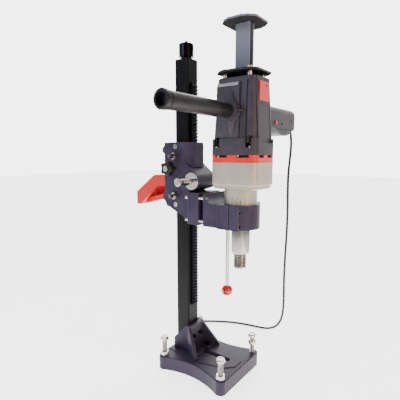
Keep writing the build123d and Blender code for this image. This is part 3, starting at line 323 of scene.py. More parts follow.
def copy_of_node(node: str, name: str) -> Piece:
    """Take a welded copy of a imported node's mesh to work on.

    Args:
        node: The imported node.
        name: The copy's name.

    Returns:
        The copy, with clean flat faces.
    """
    made = place_in_scene(name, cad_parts[node].data.copy())
    made.data.materials.clear()
    pick_up(made)
    bpy.ops.mesh.customdata_custom_splitnormals_clear()
    with editing(made):
        bpy.ops.mesh.select_all(action="SELECT")
        bpy.ops.mesh.remove_doubles(threshold=1e-6)
        bpy.ops.mesh.dissolve_limited(angle_limit=math.radians(0.4))
    return made


def thread_ridge(name: str, radius: float, pitch: float, turns: int, depth: float, steps: int,
                 start: float = 0.0) -> Piece:
    """Wind a screw thread's ridge round +Z.

    Args:
        name: The piece's name.
        radius: The root radius in mm.
        pitch: The rise of each turn in mm.
        turns: How many turns there are.
        depth: How far the ridge stands out of the root in mm.
        steps: How many steps each turn has.
        start: The height of its first turn in mm.

    Returns:
        The ridge, closed at both ends.
    """
    deselect_all()
    bpy.ops.mesh.primitive_circle_add(vertices=4, radius=MM, fill_type="NOTHING",
                                      rotation=(math.pi / 2, 0, 0))
    made = bpy.context.active_object
    made.name = name
    settle(made)
    with editing(made):
        bpy.ops.mesh.select_all(action="SELECT")
        bpy.ops.transform.resize(value=(depth, 1.0, pitch * 0.49))
        bpy.ops.transform.translate(value=(radius * MM, 0, 0))
    apply_modifier(made, "SCREW", axis="Z", angle=math.tau, screw_offset=pitch * MM, iterations=turns,
                   steps=steps, render_steps=steps, use_smooth_shade=False)
    with editing(made):
        bpy.ops.mesh.select_all(action="SELECT")
        bpy.ops.mesh.fill_holes(sides=8)
        bpy.ops.mesh.select_all(action="SELECT")
        bpy.ops.mesh.normals_make_consistent(inside=False)
        bpy.ops.transform.translate(value=(0, 0, start * MM))
    return made


# ------------------------------------------------------------------------------- finishes
def linear(colour: str) -> tuple[float, float, float, float]:
    """Turn an sRGB hex colour to linear.

    Args:
        colour: Six hex digits.

    Returns:
        Linear red, green and blue, and alpha 1.
    """
    parts = [int(colour[i:i + 2], 16) / 255 for i in (0, 2, 4)]
    return (*(p / 12.92 if p <= 0.04045 else ((p + 0.055) / 1.055) ** 2.4 for p in parts), 1.0)


def add_node(tree: bpy.types.NodeTree, kind: str, inputs: dict[str | int, object] | None = None,
             **settings: object) -> bpy.types.Node:
    """Add a node with its settings and links.

    Args:
        tree: The material's node tree.
        kind: Blender's name for the node.
        inputs: For each socket, another node's output to link or a plain value.
        **settings: The node's own settings.

    Returns:
        The new node.
    """
    made = tree.nodes.new(kind)
    for key, value in settings.items():
        setattr(made, key, value)
    for socket, value in (inputs or {}).items():
        if isinstance(value, bpy.types.NodeSocket):
            tree.links.new(value, made.inputs[socket])
        else:
            made.inputs[socket].default_value = value
    return made


@dataclass(frozen=True)
class Finish:
    """A surface finish, made into a material once. Scales are per millimetre."""

    name: str
    roughness: float
    edge_facing: ClassVar[tuple[float, float]] = (0.985, 0.86)
    edge_samples: ClassVar[int] = 4
    breakup_scale: ClassVar[float] = 0.35
    breakup_range: ClassVar[tuple[float, float]] = (0.36, 0.56)
    gloss_range: ClassVar[tuple[float, float]] = (0.3, 0.7)

    def material(self) -> bpy.types.Material:
        """The finish as a Blender material.

        Returns:
            The material, new or already made.
        """
        found = bpy.data.materials.get(self.name)
        if found is not None:
            return found
        made = bpy.data.materials.new(self.name)
        made.use_nodes = True
        tree = made.node_tree
        tree.nodes.clear()
        shader = add_node(tree, "ShaderNodeBsdfPrincipled", {"Roughness": self.roughness})
        add_node(tree, "ShaderNodeOutputMaterial", {"Surface": shader.outputs[0]})
        place = add_node(tree, "ShaderNodeTexCoord")
        in_mm = add_node(tree, "ShaderNodeVectorMath", {0: place.outputs["Object"], "Scale": 1 / MM},
                         operation="SCALE")
        self.work(tree, shader, in_mm.outputs[0])
        return made

    def work(self, tree: bpy.types.NodeTree, shader: bpy.types.Node, in_mm: bpy.types.NodeSocket) -> None:
        """Lay the finish on the shader; each kind of finish has its own.

        Args:
            tree: The material's node tree.
            shader: Its Principled shader.
            in_mm: The place on the piece, in mm.
        """
        raise NotImplementedError

    def edge_highlight_mask(self, tree: bpy.types.NodeTree, in_mm: bpy.types.NodeSocket,
                  reach: float) -> bpy.types.NodeSocket:
        """Find the outer edges for a painted highlight, broken up into small flecks by noise.

        Args:
            tree: The material's node tree.
            in_mm: The place on the piece, in mm.
            reach: How far the painted highlight reaches from an edge in mm.

        Returns:
            A value that is 1 on an edge and 0 elsewhere.
        """
        soft = add_node(tree, "ShaderNodeBevel", {"Radius": reach * MM}, samples=self.edge_samples)
        plain = add_node(tree, "ShaderNodeNewGeometry")
        same = add_node(tree, "ShaderNodeVectorMath", {0: soft.outputs[0], 1: plain.outputs["Normal"]},
                        operation="DOT_PRODUCT")
        flat, turned = self.edge_facing
        edge = add_node(tree, "ShaderNodeMapRange",
                        {"Value": same.outputs["Value"], "From Min": flat, "From Max": turned})
        # Noise breaks the painted edge highlight into flecks.
        breakup = add_node(tree, "ShaderNodeTexNoise",
                         {"Vector": in_mm, "Scale": self.breakup_scale, "Detail": 3.0})
        low, high = self.breakup_range
        kept = add_node(tree, "ShaderNodeMapRange",
                        {"Value": breakup.outputs["Fac"], "From Min": low, "From Max": high})
        mottle_and_highlight = add_node(tree, "ShaderNodeMath", {0: edge.outputs[0], 1: kept.outputs[0]},
                        operation="MULTIPLY")
        return mottle_and_highlight.outputs[0]

    def gloss(self, tree: bpy.types.NodeTree, pattern: bpy.types.NodeSocket, less: float,
              more: float) -> bpy.types.NodeSocket:
        """Let the roughness wander with a pattern.

        Args:
            tree: The material's node tree.
            pattern: The pattern that it follows.
            less: How far it falls below the finish's own roughness.
            more: How far it rises above it.

        Returns:
            The roughness.
        """
        low, high = self.gloss_range
        return add_node(tree, "ShaderNodeMapRange",
                        {"Value": pattern, "From Min": low, "From Max": high,
                         "To Min": self.roughness - less, "To Max": self.roughness + more}).outputs[0]

    @staticmethod
    def cover(tree: bpy.types.NodeTree, shader: bpy.types.Node,
              **sockets: bpy.types.NodeSocket) -> None:
        """Link a finish's colour, roughness and surface to the shader.

        Args:
            tree: The material's node tree.
            shader: Its Principled shader.
            **sockets: What is linked, by the shader socket's name with _ for a space.
        """
        for socket, value in sockets.items():
            tree.links.new(value, shader.inputs[socket.replace("_", " ")])


@dataclass(frozen=True)
class Coating(Finish):
    """A sprayed or powder coat: an orange peel surface, cloudy in colour, paler along its edges as a painted
    highlight, and, where a colour for them is given, darker on downward faces as painted shade.
    """

    colour: str
    # Second colour: used for the random clouds and for the painted edge highlight.
    mottle_and_highlight: str
    peel: float = 1.4
    relief: float = 0.05
    highlight_strength: float = 0.55
    cloud: float = 0.10
    fleck: float = 0.0
    sheen: float = 0.5
    # Colour of the downward faces: a painted shade.
    underside_shade: str | None = None
    cloud_scale: ClassVar[float] = 0.03
    cloud_range: ClassVar[tuple[float, float]] = (0.3, 0.7)
    highlight_reach: ClassVar[float] = 0.9
    down_facing: ClassVar[tuple[float, float]] = (-0.5, -0.8)

    def work(self, tree: bpy.types.NodeTree, shader: bpy.types.Node, in_mm: bpy.types.NodeSocket) -> None:
        """Lay the coat on the shader.

        Args:
            tree: The material's node tree.
            shader: Its Principled shader.
            in_mm: The place on the piece, in mm.
        """
        clouds = add_node(tree, "ShaderNodeTexNoise",
                          {"Vector": in_mm, "Scale": self.cloud_scale, "Detail": 4.0})
        low, high = self.cloud_range
        shade = add_node(tree, "ShaderNodeMapRange",
                         {"Value": clouds.outputs["Fac"], "From Min": low, "From Max": high,
                          "To Min": 0.0, "To Max": self.cloud})
        base = add_node(tree, "ShaderNodeMix",
                        {0: shade.outputs[0], 6: linear(self.colour), 7: linear(self.mottle_and_highlight)},
                        data_type="RGBA")
        # Paler along the edges: a painted highlight in the second colour.
        edge = self.edge_highlight_mask(tree, in_mm, self.highlight_reach)
        thin = add_node(tree, "ShaderNodeMath", {0: edge, 1: self.highlight_strength}, operation="MULTIPLY")
        paint = add_node(tree, "ShaderNodeMix",
                         {0: thin.outputs[0], 6: base.outputs[2], 7: linear(self.mottle_and_highlight)}, data_type="RGBA")
        peel = add_node(tree, "ShaderNodeTexNoise",
                        {"Vector": in_mm, "Scale": 1 / self.peel, "Detail": 2.0})
        skin = add_node(tree, "ShaderNodeBump",
                        {"Strength": 0.6, "Distance": self.relief * MM, "Height": peel.outputs["Fac"]})
        shader.inputs["Specular IOR Level"].default_value = self.sheen
        shader.inputs["Metallic"].default_value = self.fleck
        # Downward faces take a darker colour and lose their sheen: painted shade.
        if self.underside_shade is not None:
            facing = add_node(tree, "ShaderNodeNewGeometry")
            height = add_node(tree, "ShaderNodeSeparateXYZ", {0: facing.outputs["True Normal"]})
            level, down = self.down_facing
            below = add_node(tree, "ShaderNodeMapRange",
                             {"Value": height.outputs["Z"], "From Min": level, "From Max": down})
            paint = add_node(tree, "ShaderNodeMix",
                             {0: below.outputs[0], 6: paint.outputs[2], 7: linear(self.underside_shade)},
                             data_type="RGBA")
            dull = add_node(tree, "ShaderNodeMath", {0: below.outputs[0], 1: -self.sheen, 2: self.sheen},
                            operation="MULTIPLY_ADD")
            self.cover(tree, shader, Specular_IOR_Level=dull.outputs[0])
        self.cover(tree, shader, Base_Color=paint.outputs[2], Normal=skin.outputs[0],
                   Roughness=self.gloss(tree, clouds.outputs["Fac"], 0.05, 0.07))


class Lay(Enum):
    """Which way a metal's fine tool marks run, as the stretch of their pattern."""

    ROUND_Z = (0.05, 0.05, 6.0)
    ROUND_Y = (0.05, 6.0, 0.05)
    NONE = (1.0, 1.0, 1.0)


@dataclass(frozen=True)
class Metal(Finish):
    """A bare or plated metal: tool marks, faint stains and a roughness that wanders."""

    colour: str
    stain: str
    lay: Lay = Lay.NONE
    marks: float = 0.02
    blotch: float = 0.25
    stain_scale: ClassVar[float] = 0.12
    stain_range: ClassVar[tuple[float, float]] = (0.42, 0.75)

    def work(self, tree: bpy.types.NodeTree, shader: bpy.types.Node, in_mm: bpy.types.NodeSocket) -> None:
        """Lay the metal on the shader.

        Args:
            tree: The material's node tree.
            shader: Its Principled shader.
            in_mm: The place on the piece, in mm.
        """
        stretched = add_node(tree, "ShaderNodeVectorMath", {0: in_mm, 1: self.lay.value},
                             operation="MULTIPLY")
        marks = add_node(tree, "ShaderNodeTexNoise",
                         {"Vector": stretched.outputs[0], "Scale": 1.0, "Detail": 3.0})
        stains = add_node(tree, "ShaderNodeTexNoise",
                          {"Vector": in_mm, "Scale": self.stain_scale, "Detail": 5.0})
        low, high = self.stain_range
        amount = add_node(tree, "ShaderNodeMapRange",
                          {"Value": stains.outputs["Fac"], "From Min": low, "From Max": high,
                           "To Min": 0.0, "To Max": self.blotch})
        metal = add_node(tree, "ShaderNodeMix",
                         {0: amount.outputs[0], 6: linear(self.colour), 7: linear(self.stain)},
                         data_type="RGBA")
        lines = add_node(tree, "ShaderNodeBump",
                         {"Strength": 0.5, "Distance": self.marks * MM, "Height": marks.outputs["Fac"]})
        self.cover(tree, shader, Base_Color=metal.outputs[2], Normal=lines.outputs[0],
                   Roughness=self.gloss(tree, marks.outputs["Fac"], 0.06, 0.08))
        shader.inputs["Metallic"].default_value = 1.0


@dataclass(frozen=True)
class Moulding(Finish):
    """A moulded plastic or rubber: spark-eroded grain, paler in random patches with a roughness that wanders
    with them, and paler along its edges as a painted highlight.
    """

    colour: str
    # Second colour: used for the random paler patches and for the painted edge highlight.
    handled_and_highlight: str
    grain: float = 0.9
    relief: float = 0.05
    highlight_strength: float = 0.35
    coat: float = 0.0
    ior: float = 1.5
    sheen: float = 0.5
    coat_roughness: ClassVar[float] = 0.08
    handling_scale: ClassVar[float] = 0.045
    handling_range: ClassVar[tuple[float, float]] = (0.35, 0.75)
    handling_tone: ClassVar[float] = 0.12
    highlight_reach: ClassVar[float] = 0.8

    def work(self, tree: bpy.types.NodeTree, shader: bpy.types.Node, in_mm: bpy.types.NodeSocket) -> None:
        """Lay the moulding's surface on the shader.

        Args:
            tree: The material's node tree.
            shader: Its Principled shader.
            in_mm: The place on the piece, in mm.
        """
        grain = add_node(tree, "ShaderNodeTexVoronoi", {"Vector": in_mm, "Scale": 1 / self.grain})
        handling = add_node(tree, "ShaderNodeTexNoise",
                            {"Vector": in_mm, "Scale": self.handling_scale, "Detail": 4.0})
        # Paler along the edges: a painted highlight, taken together with the random paler patches.
        edge = self.edge_highlight_mask(tree, in_mm, self.highlight_reach)
        mottle_and_highlight = add_node(tree, "ShaderNodeMath", {0: edge, 1: self.highlight_strength}, operation="MULTIPLY")
        low, high = self.handling_range
        tone = add_node(tree, "ShaderNodeMapRange",
                        {"Value": handling.outputs["Fac"], "From Min": low, "From Max": high,
                         "To Min": 0.0, "To Max": self.handling_tone})
        pale = add_node(tree, "ShaderNodeMath", {0: mottle_and_highlight.outputs[0], 1: tone.outputs[0]},
                        operation="MAXIMUM")
        skin = add_node(tree, "ShaderNodeMix",
                        {0: pale.outputs[0], 6: linear(self.colour), 7: linear(self.handled_and_highlight)},
                        data_type="RGBA")
        pits = add_node(tree, "ShaderNodeBump",
                        {"Strength": 0.5, "Distance": self.relief * MM, "Height": grain.outputs["Distance"]})
        self.cover(tree, shader, Base_Color=skin.outputs[2], Normal=pits.outputs[0],
                   Roughness=self.gloss(tree, handling.outputs["Fac"], 0.06, 0.06))
        for socket, value in (("Coat Weight", self.coat), ("Coat Roughness", self.coat_roughness),
                              ("IOR", self.ior), ("Specular IOR Level", self.sheen)):
            shader.inputs[socket].default_value = value


@dataclass(frozen=True)
class PressedCore(Finish):
    """A stack of pressed iron sheets: half-millimetre lines across the stack, drawn as coarse as 1.2 mm."""

    colour: str = "6f6a66"
    gap: str = "3b332e"
    sheet_scale: float = 0.26
    relief: float = 0.1

    def work(self, tree: bpy.types.NodeTree, shader: bpy.types.Node, in_mm: bpy.types.NodeSocket) -> None:
        """Lay the sheet edges on the shader.

        Args:
            tree: The material's node tree.
            shader: Its Principled shader.
            in_mm: The place on the piece, in mm.
        """
        sheets = add_node(tree, "ShaderNodeTexWave",
                          {"Vector": in_mm, "Scale": self.sheet_scale, "Distortion": 0.4},
                          bands_direction="Z")
        iron = add_node(tree, "ShaderNodeMix",
                        {0: sheets.outputs["Fac"], 6: linear(self.gap), 7: linear(self.colour)},
                        data_type="RGBA")
        lines = add_node(tree, "ShaderNodeBump",
                         {"Strength": 0.6, "Distance": self.relief * MM, "Height": sheets.outputs["Fac"]})
        self.cover(tree, shader, Base_Color=iron.outputs[2], Normal=lines.outputs[0])
        shader.inputs["Metallic"].default_value = 1.0


@dataclass(frozen=True)
class OpalSheet(Finish):
    """Opal acrylic that glows by its own emission, painted light standing in for a lamp beneath it: white and
    matt, its glow fades out at both sides.
    """

    glow: float = 2.7
    dimmest: float = 0.25
    unevenness: float = 0.03
    left_edge: Point = (0.400, 0.916, 0.0)
    right_edge: Point = (-0.991, -0.136, 0.0)
    edge_offsets: tuple[float, float] = (417.0, 474.0)
    fade: float = 800.0
    cloud_scale: float = 0.004

    def work(self, tree: bpy.types.NodeTree, shader: bpy.types.Node, in_mm: bpy.types.NodeSocket) -> None:
        """Lay the sheet on the shader.

        Args:
            tree: The material's node tree.
            shader: Its Principled shader.
            in_mm: The place on the piece, in mm.
        """
        lit = []
        for edge, offset in zip((self.left_edge, self.right_edge), self.edge_offsets):
            inside = add_node(tree, "ShaderNodeVectorMath", {0: in_mm, 1: edge}, operation="DOT_PRODUCT")
            lit.append(add_node(tree, "ShaderNodeMapRange",
                                {"Value": inside.outputs["Value"], "From Min": -offset - self.fade,
                                 "From Max": -offset, "To Min": self.dimmest},
                                interpolation_type="SMOOTHSTEP"))
        both = add_node(tree, "ShaderNodeMath", {0: lit[0].outputs[0], 1: lit[1].outputs[0]},
                        operation="MULTIPLY")
        clouds = add_node(tree, "ShaderNodeTexNoise",
                          {"Vector": in_mm, "Scale": self.cloud_scale, "Detail": 2.0})
        even = add_node(tree, "ShaderNodeMapRange",
                        {"Value": clouds.outputs["Fac"], "To Min": self.glow * (1 - self.unevenness),
                         "To Max": self.glow * (1 + self.unevenness)})
        glow = add_node(tree, "ShaderNodeMath", {0: both.outputs[0], 1: even.outputs[0]},
                        operation="MULTIPLY")
        shader.inputs["Base Color"].default_value = linear("fbfaf8")
        shader.inputs["Emission Color"].default_value = linear("ffffff")
        # The floor's own emission, brightest behind the rig: painted light.
        self.cover(tree, shader, Emission_Strength=glow.outputs[0])


# In every Coating and Moulding below, the second colour also serves as a painted highlight along the edges.
# Powder coat on sand-cast aluminium: an even dark aubergine skin with soft orange peel; its paler edges are a
# painted highlight.
CASTING_COAT = Coating("powder_coated_cast_aluminium", 0.42, colour="2a2334", mottle_and_highlight="7f748f", sheen=0.16)
# Satin stove enamel on drawn steel tube: nearly black, smooth, with a broad soft reflection.
TUBE_ENAMEL = Coating("stove_enamelled_steel_tube", 0.38, colour="050505", mottle_and_highlight="2c2a2d", peel=0.8,
                      relief=0.02, highlight_strength=0.35, sheen=0.12)
# Blued and oiled milled steel: black flanks with a dull shine on the tooth tips.
BLUED_STEEL = Metal("blued_milled_steel", 0.42, colour="26252a", stain="141316", lay=Lay.NONE)
# Black oxide on turned steel, oiled: glossy black with fine rings.
BLACK_OXIDE = Metal("black_oxide_turned_steel", 0.22, colour="1c1b1e", stain="0c0c0d", lay=Lay.ROUND_Z)
# Bright zinc plate on rolled screws: a pale, slightly cloudy mirror.
ZINC_PLATE = Metal("bright_zinc_plated_steel", 0.24, colour="c4c0b9", stain="807a70", blotch=0.35)
# Turned and ground bar: a clean grey mirror with rings round the axis.
TURNED_STEEL = Metal("turned_ground_steel", 0.22, colour="b4afa8", stain="777168", lay=Lay.ROUND_Z)
SHAFT_STEEL = Metal("ground_steel_shaft", 0.2, colour="b9b4ac", stain="7d776d", lay=Lay.ROUND_Y)
# Rolled bearing rings with a rubbed oil film.
BEARING_STEEL = Metal("lapped_bearing_steel", 0.2, colour="bdbbb8", stain="77726c", lay=Lay.ROUND_Y)
# Turned free-cutting brass, handled: warm yellow with brown in the hollows.
BRASS = Metal("turned_brass", 0.26, colour="d8a64a", stain="8a6026", lay=Lay.ROUND_Y)
# Silver paint on die-cast aluminium: a champagne grey with a very fine metal fleck.
GEARBOX_PAINT = Coating("silver_painted_die_cast_aluminium", 0.36, colour="a59c8c", mottle_and_highlight="cdc4b3", peel=1.0,
                        relief=0.03, highlight_strength=0.4, cloud=0.25, fleck=0.45)
# Glass-filled nylon, spark-eroded mould: warm dark grey, dull, with a fine even grain.
HOUSING_NYLON = Moulding("glass_filled_nylon_housing", 0.46, colour="332f35", handled_and_highlight="645f68", sheen=0.2)
# The housing's nylon with its grain polished off; its pale grey is a painted highlight on the sloping strip.
HIGHLIGHT_NYLON = Moulding("painted_highlight_nylon", 0.3, colour="9a989e", handled_and_highlight="bdbbc0", relief=0.01)
# The same nylon in black, on the parts a hand holds.
BLACK_NYLON = Moulding("black_glass_filled_nylon", 0.38, colour="0e0c0c", handled_and_highlight="3b3634", highlight_strength=0.5,
                       sheen=0.35)
# ABS moulded in solid red: bright and a little glossy.
RED_ABS = Moulding("moulded_red_abs", 0.34, colour="c80c02", handled_and_highlight="ff4a30", relief=0.02, highlight_strength=0.3)
# Phenolic ball, tumbled and polished: a deep glossy red.
RED_PHENOLIC = Moulding("polished_red_phenolic", 0.14, colour="c30d10", handled_and_highlight="e0403c", relief=0.004,
                        coat=0.6, highlight_strength=0.1)
# Red powder coat on a cast handle.
RED_COAT = Coating("red_powder_coated_casting", 0.36, colour="be0902", mottle_and_highlight="e8402c", cloud=0.12, relief=0.03)
# Grey machine enamel on folded sheet steel; its downward faces turn darker and lose their sheen, a painted
# shade.
SHEET_ENAMEL = Coating("grey_enamelled_sheet_steel", 0.4, colour="60646d", mottle_and_highlight="a0a3aa", relief=0.03,
                       peel=1.2, sheen=0.2, underside_shade="2b292a")
# Dark enamel on pressed plate; its downward faces turn a little darker and lose their sheen, a painted shade.
PLATE_ENAMEL = Coating("dark_enamelled_plate", 0.4, colour="1d1b1d", mottle_and_highlight="6a676b", relief=0.03, peel=1.2,
                       sheen=0.2, underside_shade="1a1919")
# Cast nylon strip, planed: creamy and waxy.
NYLON_STRIP = Moulding("planed_cast_nylon", 0.4, colour="d8d2bd", handled_and_highlight="efeada", ior=1.53)
# Plasticised PVC sheath: soft black with a satin shine.
PVC_SHEATH = Moulding("extruded_pvc_sheath", 0.4, colour="0f0f10", handled_and_highlight="2c2b2d", grain=1.6, relief=0.02,
                      highlight_strength=0.1, ior=1.54)
# Open glass-filled moulding that the air passes, always in shade.
GRILLE_NYLON = Moulding("black_nylon_grille", 0.5, colour="0b0a0b", handled_and_highlight="2a282a")
# Pressed and stacked iron sheet, inside the motor: grey with dark lines between the sheets.
MOTOR_IRON = PressedCore("pressed_motor_iron", 0.45)
# Hardened gear steel, hobbed and left with its oil.
GEAR_STEEL = Metal("hobbed_gear_steel", 0.32, colour="8d8a86", stain="4c463f", lay=Lay.ROUND_Z)


def dress(finish: Finish, *nodes: str) -> None:
    """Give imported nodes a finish, through their material slots.

    Args:
        finish: The finish.
        *nodes: The nodes' names.
    """
    for node in nodes:
        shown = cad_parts[node]
        if not shown.material_slots:
            shown.data.materials.append(finish.material())
        for each in shown.material_slots:
            each.material = finish.material()
        LOG.info("node %s: %s", node, finish.name)


def hand_in(piece: Piece, body: str, finish: Finish, stands_for: Sequence[str] = (),
            sharp_over: float = 30.0) -> Piece:
    """Shade and dress a finished piece and mount it on its body.

    Args:
        piece: The finished piece.
        body: The body that it rides on.
        finish: Its finish.
        stands_for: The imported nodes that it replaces.
        sharp_over: Edges sharper than this many degrees stay sharp.

    Returns:
        The same piece.
    """
    pick_up(piece)
    bpy.ops.object.shade_smooth_by_angle(angle=math.radians(sharp_over))
    piece.data.materials.clear()
    piece.data.materials.append(finish.material())
    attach(piece, body)
    if stands_for:
        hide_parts(*stands_for)
    LOG.info("piece %s on %s: %s, %d faces", piece.name, body, finish.name, len(piece.data.polygons))
    return piece


def cap_screw(name: str, place: Point, outward: Point, radius: float, height: float, key: float) -> Piece:
    """A socket head, standing out of a face.

    Args:
        name: The piece's name.
        place: The middle of its seat in mm.
        outward: The way its head faces.
        radius: The head's radius in mm.
        height: The head's height in mm.
        key: The key hole's radius in mm.

    Returns:
        The screw head, with a hexagon sunk in it.
    """
    seat, outward = Vector(place), Vector(outward)
    top = seat + outward * height
    head = round_edges(rod(name, tuple(seat), tuple(top), radius, sides=28), min(0.5, height / 4))
    hole = rod("key", tuple(top - outward * height * 0.6), tuple(top + outward), key, sides=6)
    return cut(head, [hole])


# ------------------------------------------------------------------------------- the stand
@dataclass
class Stand:
    """The cast base, the column with its rack, and the bracket between them."""

    rack_screw_x: float = 28.4
    rack_screw_heights: tuple[float, ...] = (171.7, 297.4, 612.5, 699.0)
    rack_screw_r: float = 3.6
    rack_screw_height: float = 0.9
    rack_screw_key: float = 1.7

    def build(self) -> None:
        """Dress the stand and add its small fittings."""
        dress(CASTING_COAT, "base_casting", "column_bracket")
        dress(TUBE_ENAMEL, "column_tube", "column_plug")
        dress(BLUED_STEEL, "rack")
        dress(BLACK_OXIDE, "bracket_screws", "jack_screw")
        dress(ZINC_PLATE, "level_lock_nuts")
        self.rack_screws()

    def rack_screws(self) -> None:
        """Low socket-headed screws that hold the rack down its middle."""
        heads = [cap_screw("rack_screw", (self.rack_screw_x, 0.0, z), (1, 0, 0), self.rack_screw_r,
                           self.rack_screw_height, self.rack_screw_key) for z in self.rack_screw_heights]
        hand_in(join("rack_screws", heads), Body.STAND, BLACK_OXIDE)


@dataclass
class LevellingScrew:
    """A hexagon-headed screw with a cut thread, dished on its head."""

    name: str
    x: float
    y: float
    nut_z: float | None = None
    nut_height: float = 10.0
    core_r: float = 5.15
    ridge_r: float = 5.05
    ridge_depth: float = 0.95
    pitch: float = 1.75
    foot: float = 0.3
    run_in: float = 1.6
    run_out: float = 3.0
    head_bottom: float = 76.0
    head_top: float = 84.0
    across_flats: float = 19.0
    cone_reach: float = 6.0
    cone_outside: float = 5.0
    cone_inside: float = 5.6
    rim: float = 2.6
    dish_slope: float = 1.2
    dish_depth: float = 0.9
    softness: float = 0.35

    def hexagon(self, name: str, low: float, high: float, dished: bool) -> Piece:
        """A hexagon with turned corners.

        Args:
            name: The piece's name.
            low: The height of its underside in mm.
            high: The height of its top in mm.
            dished: Whether its top is sunk in the middle.

        Returns:
            The hexagon, round the origin's axis.
        """
        corner = self.across_flats / math.sqrt(3)
        made = rod(name, (0, 0, low), (0, 0, high), corner, sides=6)
        turned = rod("turned", (0, 0, low - self.cone_reach), (0, 0, high + self.cone_reach),
                     corner + self.cone_outside, corner - self.cone_inside, sides=64)
        cut(made, [turned], Cut.INSIDE)
        if dished:
            with editing(made):
                select(made, Element.FACES, lambda middle, normal: middle.z > high - 0.3 and normal.z > 0.95)
                bpy.ops.mesh.inset(thickness=self.rim * MM)
                bpy.ops.mesh.inset(thickness=self.dish_slope * MM, depth=-self.dish_depth * MM)
        return round_edges(made, self.softness)

    def build(self) -> None:
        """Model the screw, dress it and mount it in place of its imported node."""
        core = rod("core", (0, 0, self.foot), (0, 0, self.head_bottom + 0.5), self.core_r)
        turns = int((self.head_bottom - self.foot - self.run_out) / self.pitch)
        ridge = thread_ridge("ridge", self.ridge_r, self.pitch, turns, self.ridge_depth, steps=20,
                             start=self.foot + self.run_in)
        parts = [core, ridge, self.hexagon("head", self.head_bottom, self.head_top, True)]
        if self.nut_z is not None:
            parts.append(self.hexagon("nut", self.nut_z, self.nut_z + self.nut_height, False))
        screw = join(f"levelling_screw_{self.name}", parts)
        screw.location = (self.x * MM, self.y * MM, 0)
        hand_in(settle(screw), f"level_{self.name}", ZINC_PLATE,
                [f"level_screw_{self.name}"])


# ------------------------------------------------------------------------------- the carriage
@dataclass
class Carriage:
    """The casting that climbs the column, with its gib screws, lock knob, pinion and mount."""

    gib_x: float = -9.0
    gib_heights: tuple[float, float] = (441.0, 538.0)
    gib_root_r: float = 4.75
    gib_pitch: float = 1.5
    gib_turns: int = 8
    gib_depth: float = 0.6
    gib_start_y: float = -43.2
    gib_end_y: float = -56.0
    gib_cup: tuple[float, float] = (4.6, 3.9)
    gib_cup_height: float = 0.6
    gib_key: float = 2.4
    half_width: float = 35.0
    pinion: tuple[float, float] = (42.5, 479.0)
    shield_r: float = 15.2
    shield_hole_r: float = 12.2
    shield_sunk: tuple[float, float] = (1.6, 0.9)
    shield_rim: float = 1.2
    shield_slope: float = 0.8
    shield_dish: float = 0.4

    def build(self) -> None:
        """Dress the carriage's nodes and add its threads and bearing shields."""
        dress(CASTING_COAT, "carriage_casting", "mount_block", "spacer_plate", "clamp_arm", "clamp_cap")
        dress(RED_COAT, "rear_handle")
        dress(NYLON_STRIP, "guide_strips")
        dress(ZINC_PLATE, "guide_screws", "mount_bolts", "clamp_screws", "knob_screw")
        dress(BEARING_STEEL, "pinion_bearings")
        dress(SHAFT_STEEL, "pinion_shaft")
        dress(GEAR_STEEL, "pinion_gear")
        dress(BLACK_NYLON, "lock_knob")
        self.gib_threads()
        self.bearing_shields()

    def gib_threads(self) -> None:
        """The black threads of the gib set screws, outside their nuts."""
        parts = []
        for z in self.gib_heights:
            ridge = thread_ridge("gib", self.gib_root_r, self.gib_pitch, self.gib_turns, self.gib_depth,
                                 steps=24)
            ridge.rotation_euler = (math.pi / 2, 0, 0)
            ridge.location = (self.gib_x * MM, self.gib_start_y * MM, z * MM)
            parts.append(settle(ridge))
            end = self.gib_end_y
            cup = rod("cup", (self.gib_x, end, z), (self.gib_x, end - self.gib_cup_height, z),
                      *self.gib_cup, sides=32)
            key = rod("key", (self.gib_x, end + 2.0, z), (self.gib_x, end - 2.0, z), self.gib_key, sides=6)
            parts.append(cut(cup, [key]))
        hand_in(join("gib_screw_threads", parts), Body.CARRIAGE, BLACK_OXIDE)

    def bearing_shields(self) -> None:
        """Pressed shields between the bearing rings on both sides of the carriage."""
        x, z = self.pinion
        inner, outer = self.shield_sunk
        parts = []
        for sign in (-1, 1):
            face = sign * self.half_width
            shield = rod("shield", (x, face - sign * inner, z), (x, face - sign * outer, z), self.shield_r,
                         sides=64)
            with editing(shield):
                select(shield, Element.FACES, lambda middle, normal, s=sign: normal.y * s > 0.9)
                bpy.ops.mesh.inset(thickness=self.shield_rim * MM)
                bpy.ops.mesh.inset(thickness=self.shield_slope * MM, depth=-self.shield_dish * MM)
            hole = rod("hole", (x, face - sign * 6, z), (x, face + sign * 4, z), self.shield_hole_r, sides=64)
            parts.append(cut(shield, [hole]))
        hand_in(join("bearing_shields", parts), Body.CARRIAGE, BLACK_OXIDE)


@dataclass
class FeedLever:
    """The hanging lever that turns the pinion, and its ball."""

    def build(self) -> None:
        """Dress the lever."""
        dress(ZINC_PLATE, "feed_lever")
        dress(RED_PHENOLIC, "lever_ball")


